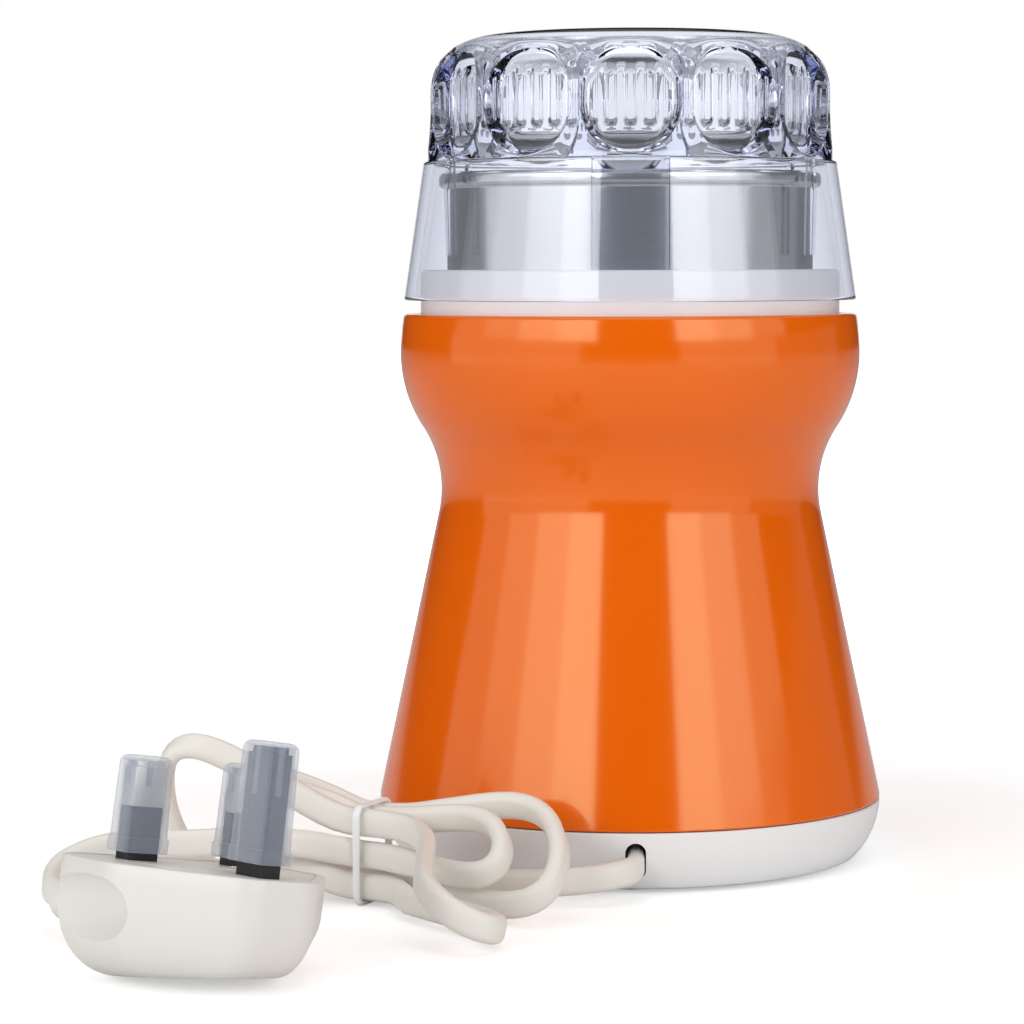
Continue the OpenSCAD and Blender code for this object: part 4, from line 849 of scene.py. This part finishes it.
def tongue_block(name, r_in, r_out, z0, z1, w, turn, n=10):
    """A curved bar of width w, facing -Y when turn is 0."""
    verts = []
    half = math.asin(w / 2 / r_out)
    for z in (z0, z1):
        for r in (r_in, r_out):
            for k in range(n + 1):
                a = -math.pi / 2 + turn + half * (2 * k / n - 1)
                verts.append((r * math.cos(a), r * math.sin(a), z))
    m = n + 1
    faces = []
    for k in range(n):
        for a, b in ((0, m), (2 * m, 3 * m), (0, 2 * m), (m, 3 * m)):
            faces.append([a + k, a + k + 1, b + k + 1, b + k])
    faces.append([0, m, 3 * m, 2 * m])
    faces.append([n, m + n, 3 * m + n, 2 * m + n])
    return mesh_from(name, verts, faces)


cut_away(collar, [tongue_block(name, TUB_R, 43.0, COLLAR_TOP - 3, COLLAR_TOP + 1, 16.4, turn)
                  for name, turn in (("slot_front", 0.0), ("slot_back", math.pi))])
join_into(collar, posts("posts", round_spots(27.0, (90, 210, 330)), 4.0, 93.4, 102.6))
soften(collar.data, 32)
take_place(collar, "collar_white", "grinder", "top_collar")

CUP_R, CUP_WALL, CUP_BEND_R, SPIGOT_R = 39.0, 0.7, 9.0, 6.3
CUP_BEND_C = (CUP_R - CUP_BEND_R, CUP_UNDER + CUP_BEND_R)
cup_outline = ([(SPIGOT_R, CUP_UNDER)] + arc(CUP_BEND_C, CUP_BEND_R, -90, 0, 14)
               + [(CUP_R, 114.6), (CUP_R, 130.0), (CUP_R, RIM_TOP - 3.5), (CUP_R, RIM_TOP - 3.3),
                  (CUP_R + 0.15, RIM_TOP - 3.05)]
               + arc((39.9, RIM_TOP - 2.2), 0.8, -90, 0, 6) + arc((39.5, RIM_TOP - 1.2), 1.2, 0, 90, 8)
               + arc((39.1, RIM_TOP - 0.8), 0.8, 90, 180, 6)
               + [(CUP_R - CUP_WALL, 130.0), (CUP_R - CUP_WALL, 120.0)]
               + arc(CUP_BEND_C, CUP_BEND_R - CUP_WALL, 0, -90, 14) + [(SPIGOT_R, CUP_UNDER + CUP_WALL)])
cup = add_piece("steel_cup", lathe("steel_cup", cup_outline))
soften(cup.data, 40)
take_place(cup, "cup_steel", "grinder", "grinding_cup")

# %% [markdown]
# The clear lid takes the most care. Its crown has twelve thumb hollows, and fine upright flutes line
# the wall inside. Cutting the hollows with Booleans would leave ragged rims that clear plastic shows
# at once. So the radius of the wall is written as a sum: it falls from the crown to the floor of the
# hollow within a narrow band along an oval. The flutes inside are shallow grooves with round ends.

# %% Form of the lid
LEDGE_Z, LID_Z, LID_TOP, ROOF_Z = 148.7, 119.5, 176.0, 172.6
CROWN_R, SKIRT_R, SKIRT_FLARE, INNER_R = 43.2, 44.0, 4.2, 37.1
SHOULDER_C, SHOULDER_R = (30.2, 162.2), 13.0
DISH_A, DISH_B, DISH_Z, DISH_DEPTH = 10.4, 11.5, 160.4, 3.8
DISH_LOW, DISH_HIGH, DISH_FILLET, DISH_RIM = 154.2, 168.4, 5.6, 0.1
HALF, PATCH_R, PATCH_HIGH = math.radians(15.0), 42.5, 172.6
FLUTE_PITCH, FLUTE_LOW, FLUTE_HIGH, FLUTE_DEPTH = math.radians(6.0), 156.6, 165.9, 0.5
ROOF_FILLET = 6.0


def step_between(a, b, x):
    t = min(1.0, max(0.0, (x - a) / (b - a)))
    return t * t * (3 - 2 * t)


def outer_r(z):
    if z < SHOULDER_C[1]:
        return CROWN_R
    return SHOULDER_C[0] + math.sqrt(max(0.0, SHOULDER_R ** 2 - (z - SHOULDER_C[1]) ** 2))


def dish_floor(z):
    lift = min(abs(z - min(max(z, DISH_LOW), DISH_HIGH)), DISH_FILLET)
    return CROWN_R - DISH_DEPTH + DISH_FILLET - math.sqrt(DISH_FILLET ** 2 - lift ** 2)


def dish_r(phi, z):
    far = math.hypot(PATCH_R * phi / DISH_A, (z - DISH_Z) / DISH_B)
    share = 1 - step_between(1 - DISH_RIM, 1.0, far)
    return outer_r(z) - share * max(0.0, outer_r(z) - dish_floor(z))


def fluted_r(phi, z):
    side = (phi - FLUTE_PITCH * round(phi / FLUTE_PITCH)) * INNER_R
    past = max(0.0, FLUTE_LOW - z) + max(0.0, z - FLUTE_HIGH)
    return INNER_R + FLUTE_DEPTH * (1 - step_between(0.75, 1.4, math.hypot(side, past)))


def crown_outline():
    """From the top of the hollow's patch over the shoulder to the middle of the flat top."""
    start = math.degrees(math.asin((PATCH_HIGH - SHOULDER_C[1]) / SHOULDER_R))
    out = arc(SHOULDER_C, SHOULDER_R, start, 90, 8)[1:]
    return out + [(SHOULDER_C[0] * (1 - t / 8), LID_TOP - 0.8 * (1 - t / 8) ** 2) for t in range(1, 8)]


def skirt_outline():
    """Over the ledge, down the skirt, round its lower edge and up the inside to the crown's wall."""
    steps = (0.02, 0.15, 0.3, 0.45, 0.6, 0.75, 0.9, 0.985, 1.0)
    tall = LEDGE_Z - LID_Z
    out = [(CROWN_R + 0.15, LEDGE_Z), (SKIRT_R - 0.2, LEDGE_Z - 0.02), (SKIRT_R + 0.03, LEDGE_Z - 0.25)]
    out += [(SKIRT_R + SKIRT_FLARE * t, LEDGE_Z - (tall - 0.5) * t) for t in steps]
    out += [(48.05, LID_Z + 0.15), (47.7, LID_Z), (46.4, LID_Z), (46.05, LID_Z + 0.15)]
    out += [(46.05 - SKIRT_FLARE * t, LID_Z + 0.15 + (tall - 0.65) * t) for t in steps]
    return out + [(41.6, LEDGE_Z - 0.1), (41.2, LEDGE_Z), (37.6, LEDGE_Z), (INNER_R + 0.05, LEDGE_Z + 0.2)]


def roof_outline():
    c = (INNER_R - ROOF_FILLET, ROOF_Z - ROOF_FILLET)
    return arc(c, ROOF_FILLET, 5, 90, 8) + [(c[0] * (1 - t / 7), ROOF_Z) for t in range(1, 7)]


print("skirt", len(skirt_outline()), "rings, hollow", round(CROWN_R - dish_r(0.0, DISH_Z), 2), "mm deep")

# %% [markdown]
# One sector of thirty degrees is enough, because the rest repeats. Its mesh should follow the shape: in
# the hollow the faces lie along rings of the oval, so that the rim stays a clean line. The outermost
# ring is a rectangle that fits the neighbours. Strips go on from it over the crown and the skirt.

# %% Sector of the lid
COLUMNS, SIDE_STEPS = 60, 16
RINGS = [0.12, 0.24, 0.36, 0.47, 0.57, 0.66, 0.74, 0.81, 0.87, 0.92, 0.935, 0.95, 0.965, 0.98, 0.99,
         1.0]


def patch_edge():
    """Edge points of the hollow's patch as (angle, height), in order round it, corners included."""
    tall = PATCH_HIGH - LEDGE_Z
    out = [(-HALF + 2 * HALF * k / COLUMNS, LEDGE_Z) for k in range(COLUMNS)]
    out += [(HALF, LEDGE_Z + tall * k / SIDE_STEPS) for k in range(SIDE_STEPS)]
    out += [(HALF - 2 * HALF * k / COLUMNS, PATCH_HIGH) for k in range(COLUMNS)]
    return out + [(-HALF, PATCH_HIGH - tall * k / SIDE_STEPS) for k in range(SIDE_STEPS)]


def lid_sector():
    verts, faces = [], []
    columns = [-HALF + 2 * HALF * k / COLUMNS for k in range(COLUMNS + 1)]

    def put(phi, r, z):
        verts.append((r * math.cos(phi - math.pi / 2), r * math.sin(phi - math.pi / 2), z))
        return len(verts) - 1

    def patch():
        edge = patch_edge()
        middle = put(0.0, dish_r(0.0, DISH_Z), DISH_Z)
        before = None
        for size in RINGS + [None]:
            row = []
            for phi, z in edge:
                far = math.hypot(PATCH_R * phi / DISH_A, (z - DISH_Z) / DISH_B)
                f = 1.0 if size is None else min(size / far, 0.999)
                height = DISH_Z + (z - DISH_Z) * f
                row.append(put(phi * f, dish_r(phi * f, height), height))
            for k in range(len(edge)):
                j = (k + 1) % len(edge)
                if before is None:
                    faces.append([middle, row[k], row[j]])
                else:
                    faces.append([before[k], row[k], row[j], before[j]])
            before = row
        return before

    def strip(row, rings):
        for ring in rings:
            new = [put(phi, r, z) for phi, r, z in ring]
            faces.extend([row[k], row[k + 1], new[k + 1], new[k]] for k in range(COLUMNS))
            row = new
        return row

    def turned(outline):
        return [[(phi, r, z) for phi in columns] for r, z in outline]

    def close(row, z):
        pole = put(0.0, 0.0, z)
        faces.extend([row[k], row[k + 1], pole] for k in range(COLUMNS))

    edge = patch()
    close(strip(edge[COLUMNS + SIDE_STEPS:2 * COLUMNS + SIDE_STEPS + 1][::-1], turned(crown_outline())),
          LID_TOP)
    row = strip(edge[:COLUMNS + 1], turned(skirt_outline()))
    heights = [LEDGE_Z + 1.2 + 0.55 * k for k in range(31)]
    row = strip(row, [[(phi, fluted_r(phi, z), z) for phi in columns] for z in heights])
    close(strip(row, turned(roof_outline())), ROOF_Z)
    return mesh_from("lid_sector", verts, faces)


sector = lid_sector()
print("sector", len(sector.polygons), "faces")

# %% [markdown]
# Geometry Nodes turn the sector round the axis twelve times. An Array modifier with an empty could do
# it too, but the node tree has its count as a named input and needs no helper object. The copies are
# made real, joined along their seams and given their finish, and the result is kept as a plain mesh.


# %% Repeat the sector
def ring_repeat_tree():
    tree = bpy.data.node_groups.new("ring_repeat", "GeometryNodeTree")
    for label, kind in (("Geometry", "Geometry"), ("Count", "Int"), ("Join Distance", "Float"),
                        ("Finish", "Material")):
        tree.interface.new_socket(name=label, in_out="INPUT", socket_type="NodeSocket" + kind)
    tree.interface.new_socket(name="Geometry", in_out="OUTPUT", socket_type="NodeSocketGeometry")
    given = tree.nodes.new("NodeGroupInput").outputs
    line = tree.nodes.new("GeometryNodeMeshLine")
    fill(tree, line, {"Count": given["Count"], "Offset": (0, 0, 0)})
    index = tree.nodes.new("GeometryNodeInputIndex").outputs[0]
    spin = tree.nodes.new("ShaderNodeCombineXYZ")
    whole_turn = calc(tree, "MULTIPLY", index, 2 * math.pi)
    feed(tree, spin.inputs["Z"], calc(tree, "DIVIDE", whole_turn, given["Count"]))
    place = tree.nodes.new("GeometryNodeInstanceOnPoints")
    fill(tree, place, {"Points": line.outputs["Mesh"], "Instance": given["Geometry"],
                       "Rotation": spin.outputs[0]})
    real = tree.nodes.new("GeometryNodeRealizeInstances")
    fill(tree, real, {"Geometry": place.outputs["Instances"]})
    merge = tree.nodes.new("GeometryNodeMergeByDistance")
    fill(tree, merge, {"Geometry": real.outputs["Geometry"], "Distance": given["Join Distance"]})
    paint = tree.nodes.new("GeometryNodeSetMaterial")
    fill(tree, paint, {"Geometry": merge.outputs["Geometry"], "Material": given["Finish"]})
    fill(tree, tree.nodes.new("NodeGroupOutput"), {"Geometry": paint.outputs["Geometry"]})
    return tree


def repeat_round(piece, count, finish):
    repeat = piece.modifiers.new("ring_repeat", "NODES")
    repeat.node_group = ring_repeat_tree()
    sockets = repeat.node_group.interface.items_tree
    keys = {item.name: item.identifier for item in sockets if item.in_out == "INPUT"}
    repeat[keys["Count"]] = count
    repeat[keys["Join Distance"]] = 0.00001
    repeat[keys["Finish"]] = finish
    settle(piece)


lid = add_piece("clear_lid", sector)
repeat_round(lid, 12, FINISH["lid_clear"])
whole = bmesh.new()
whole.from_mesh(lid.data)
bmesh.ops.recalc_face_normals(whole, faces=whole.faces)
print("open edges on the lid", sum(1 for e in whole.edges if not e.is_manifold))
whole.to_mesh(lid.data)
whole.free()

# %% [markdown]
# Two wide tongues and four thin ribs stand inside the skirt. The front tongue pushes the switch's
# slider, and the ribs guide the lid on the cup. They are short curved bars, so the block that cut the
# collar's slots makes them too.

# %% Tongues and guide ribs
for turn in (0.0, math.pi):
    join_into(lid, tongue_block("tongue", 41.2, 42.7, 121.8, LEDGE_Z + 0.3, 15.6, turn))
for a in (60, 120, 240, 300):
    join_into(lid, tongue_block("guide_rib", 41.2, 42.8, 128.8, LEDGE_Z + 0.3, 1.6, math.radians(a), 2))
soften(lid.data, 38)
take_place(lid, "lid_clear", "lid", "lid")

# %% [markdown]
# The rest of the machine is hidden or seen only when the lid is off. Its CAD meshes have the right
# shape, so they stay, and each gets the finish of its material.

# %% Finishes for the CAD nodes that stay
STAY = {
    "zinc_steel": ("base_screws", "cup_nut", "switch_lever", "switch_screws", "blade_nut", "motor_shaft",
                   "motor_screws", "mount_screws", "cord_clamp_screws"),
    "bronze": ("blade_hub", "commutator", "upper_bearing", "lower_bearing", "brush_holders"),
    "white_moulded": ("press_pusher", "upper_bracket", "lower_bracket", "cord_clamp"),
    "black_plastic": ("switch_body", "cooling_fan"),
    "foot_rubber": ("shaft_seal", "motor_pad"),
    "laminations": ("rotor_core", "stator_core"),
    "copper": ("rotor_windings", "stator_coils"),
    "red_plastic": ("switch_button",),
    "blade_steel": ("blade",),
    "carbon": ("carbon_brushes",),
    "spring_steel": ("brush_springs",),
    "wire_brown": ("inner_wires",),
    "fuse_ceramic": ("plug_fuse",),
}
for finish, nodes in STAY.items():
    for node in nodes:
        slots = NODES[node].material_slots
        if len(slots) == 0:
            NODES[node].data.materials.append(FINISH[finish])
        for spot in slots:
            spot.material = FINISH[finish]
print("CAD nodes kept", sum(len(nodes) for nodes in STAY.values()))

# %% [markdown]
# One hidden piece changes its form when the lid goes down: the coil spring under the slider gets
# shorter. Here it rides on the body with a mesh of its own.

# %% Return spring
spring = dressed_copy("push_spring", "return_spring", "spring_steel", "grinder", angle=50)
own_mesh(spring)

# %% [markdown]
# The studio floor is white paper that rolls on behind the product. A plain white floor would come out
# grey far from the lamps, so for the camera alone it glows a little more with distance. Near the
# product it still shows the soft shadow.


# %% Floor
def make_floor(r=6.0, n=96):
    mesh = bpy.data.meshes.new("studio_floor")
    ring = [(r * math.cos(a), r * math.sin(a), 0.0) for a in turns(n)]
    mesh.from_pydata(ring, [], [list(range(n))])
    floor = add_piece("studio_floor", mesh)
    paper = bpy.data.materials.new("studio_paper")
    paper.use_nodes = True
    tree = paper.node_tree
    far = tree.nodes.new("ShaderNodeVectorMath")
    far.operation = "LENGTH"
    feed(tree, far.inputs[0], tree.nodes.new("ShaderNodeTexCoord").outputs["Object"])
    seen = tree.nodes.new("ShaderNodeLightPath").outputs["Is Camera Ray"]
    fade = remap(tree, far.outputs["Value"], 0.12, 0.5, 0.42, 1.0)
    fill(tree, tree.nodes["Principled BSDF"], {
        "Base Color": (0.9, 0.9, 0.9, 1), "Roughness": 0.6, "Specular IOR Level": 0.2,
        "Emission Color": (1, 1, 1, 1), "Emission Strength": calc(tree, "MULTIPLY", seen, fade)})
    mesh.materials.append(paper)
    return floor


print("floor", round(make_floor().dimensions.x, 1), "m wide")

# %% [markdown]
# Shiny pieces show what stands round them: white paper behind, a darker room in front and a pale
# ceiling. A photograph of a room could be wrapped round the scene, but a few sums of the direction are
# enough here. The camera sees plain white and mirrors see the dark room. Rays through the clear lid see
# a paler one, unless they were mirrored and crossed many walls. All else gets even soft light.


# %% World
def make_world():
    world = bpy.data.worlds.new("studio_world")
    bpy.context.scene.world = world
    world.use_nodes = True
    tree = world.node_tree
    tree.nodes.clear()
    path = tree.nodes.new("ShaderNodeLightPath").outputs
    clear_ray, camera_ray = path["Is Transmission Ray"], path["Is Camera Ray"]
    split = tree.nodes.new("ShaderNodeSeparateXYZ")
    feed(tree, split.inputs[0], tree.nodes.new("ShaderNodeTexCoord").outputs["Generated"])
    dark_room = remap(tree, split.outputs["Y"], 0.955, 0.99, 0.02, 1.0, smooth=True)
    pale_room = remap(tree, split.outputs["Y"], 0.1, 0.6, 0.62, 1.0, smooth=True)
    direct = calc(tree, "MAXIMUM", calc(tree, "LESS_THAN", path["Glossy Depth"], 0.5),
                  calc(tree, "LESS_THAN", path["Transmission Depth"], 3.5))
    room = mix(tree, calc(tree, "MULTIPLY", direct, clear_ray), dark_room, pale_room, kind="FLOAT")
    low_ceiling = calc(tree, "MULTIPLY", clear_ray, 0.2)
    ceiling = remap(tree, split.outputs["Z"], 0.35, 0.8, low_ceiling, 0.8, smooth=True)
    shown = tree.nodes.new("ShaderNodeBackground")
    feed(tree, shown.inputs["Color"],
         calc(tree, "MAXIMUM", calc(tree, "MAXIMUM", room, ceiling), camera_ray))
    soft = tree.nodes.new("ShaderNodeBackground")
    feed(tree, soft.inputs["Strength"], 0.36)
    choose = tree.nodes.new("ShaderNodeMixShader")
    sees = calc(tree, "MAXIMUM", calc(tree, "MAXIMUM", camera_ray, path["Is Glossy Ray"]), clear_ray)
    feed(tree, choose.inputs["Fac"], sees)
    feed(tree, choose.inputs[1], soft.outputs[0])
    feed(tree, choose.inputs[2], shown.outputs[0])
    feed(tree, tree.nodes.new("ShaderNodeOutputWorld").inputs["Surface"], choose.outputs[0])
    return world


print("world", make_world().name)

# %% [markdown]
# The tall bright bands on the gloss are reflections of soft lamps. They stand in a ring round the
# front, brightest near the middle and fading to the sides, with a dark gap straight ahead. One big
# curved softbox would need a mesh that glows, and area lamps give the same bands with less noise. A
# row of low lamps lights the lead and the plug, and a softbox from above fills the floor.


# %% Lamps
def soft_lamp(name, place, aim, width, height, glow):
    data = bpy.data.lights.new(name, "AREA")
    data.shape = "RECTANGLE"
    data.size = width
    data.size_y = height
    data.energy = glow * math.pi * width * height
    lamp = bpy.data.objects.new(name, data)
    bpy.context.scene.collection.objects.link(lamp)
    turn = (Vector(aim) - Vector(place)).to_track_quat("-Z", "Y")
    lamp.matrix_world = Matrix.Translation(Vector(place)) @ turn.to_matrix().to_4x4()


def ring_lamp(name, turn, spread, low, high, glow, far=1.25):
    """A soft lamp on a ring round the object: turn 0 is in front, to the right is positive."""
    a = math.radians(turn)
    middle = (low + high) / 2
    width = 2 * far * math.tan(math.radians(spread / 2))
    soft_lamp(name, (far * math.sin(a), -far * math.cos(a), middle), (0, 0, middle), width, high - low,
              glow)


LAMP_SPREAD, LOW_TOP, HIGH_TOP = 20, 0.25, 0.85
for side, first, glows in ((-1, 16, (3.7, 2.7, 1.5, 0.7)), (1, 22, (3.4, 2.4, 1.0))):
    for k, glow in enumerate(glows):
        turn = side * (first + LAMP_SPREAD * (k + 0.5))
        ring_lamp("high_lamp", turn, LAMP_SPREAD, LOW_TOP, HIGH_TOP, glow)
for turn, spread, glow in ((-45, 42, 0.85), (-82, 32, 0.75), (50, 52, 0.8), (100, 46, 0.2)):
    ring_lamp("low_lamp", turn, spread, 0.0, LOW_TOP, glow)
soft_lamp("top_softbox", (0.0, 0.1, 1.5), (0, 0, 0.1), 1.2, 1.2, 1.0)
bpy.context.scene.view_settings.view_transform = "Standard"
print("lamps", len(bpy.data.lights))

# %% [markdown]
# Last, the script says that the scene is built.

# %% End of the scene
print("scene built")
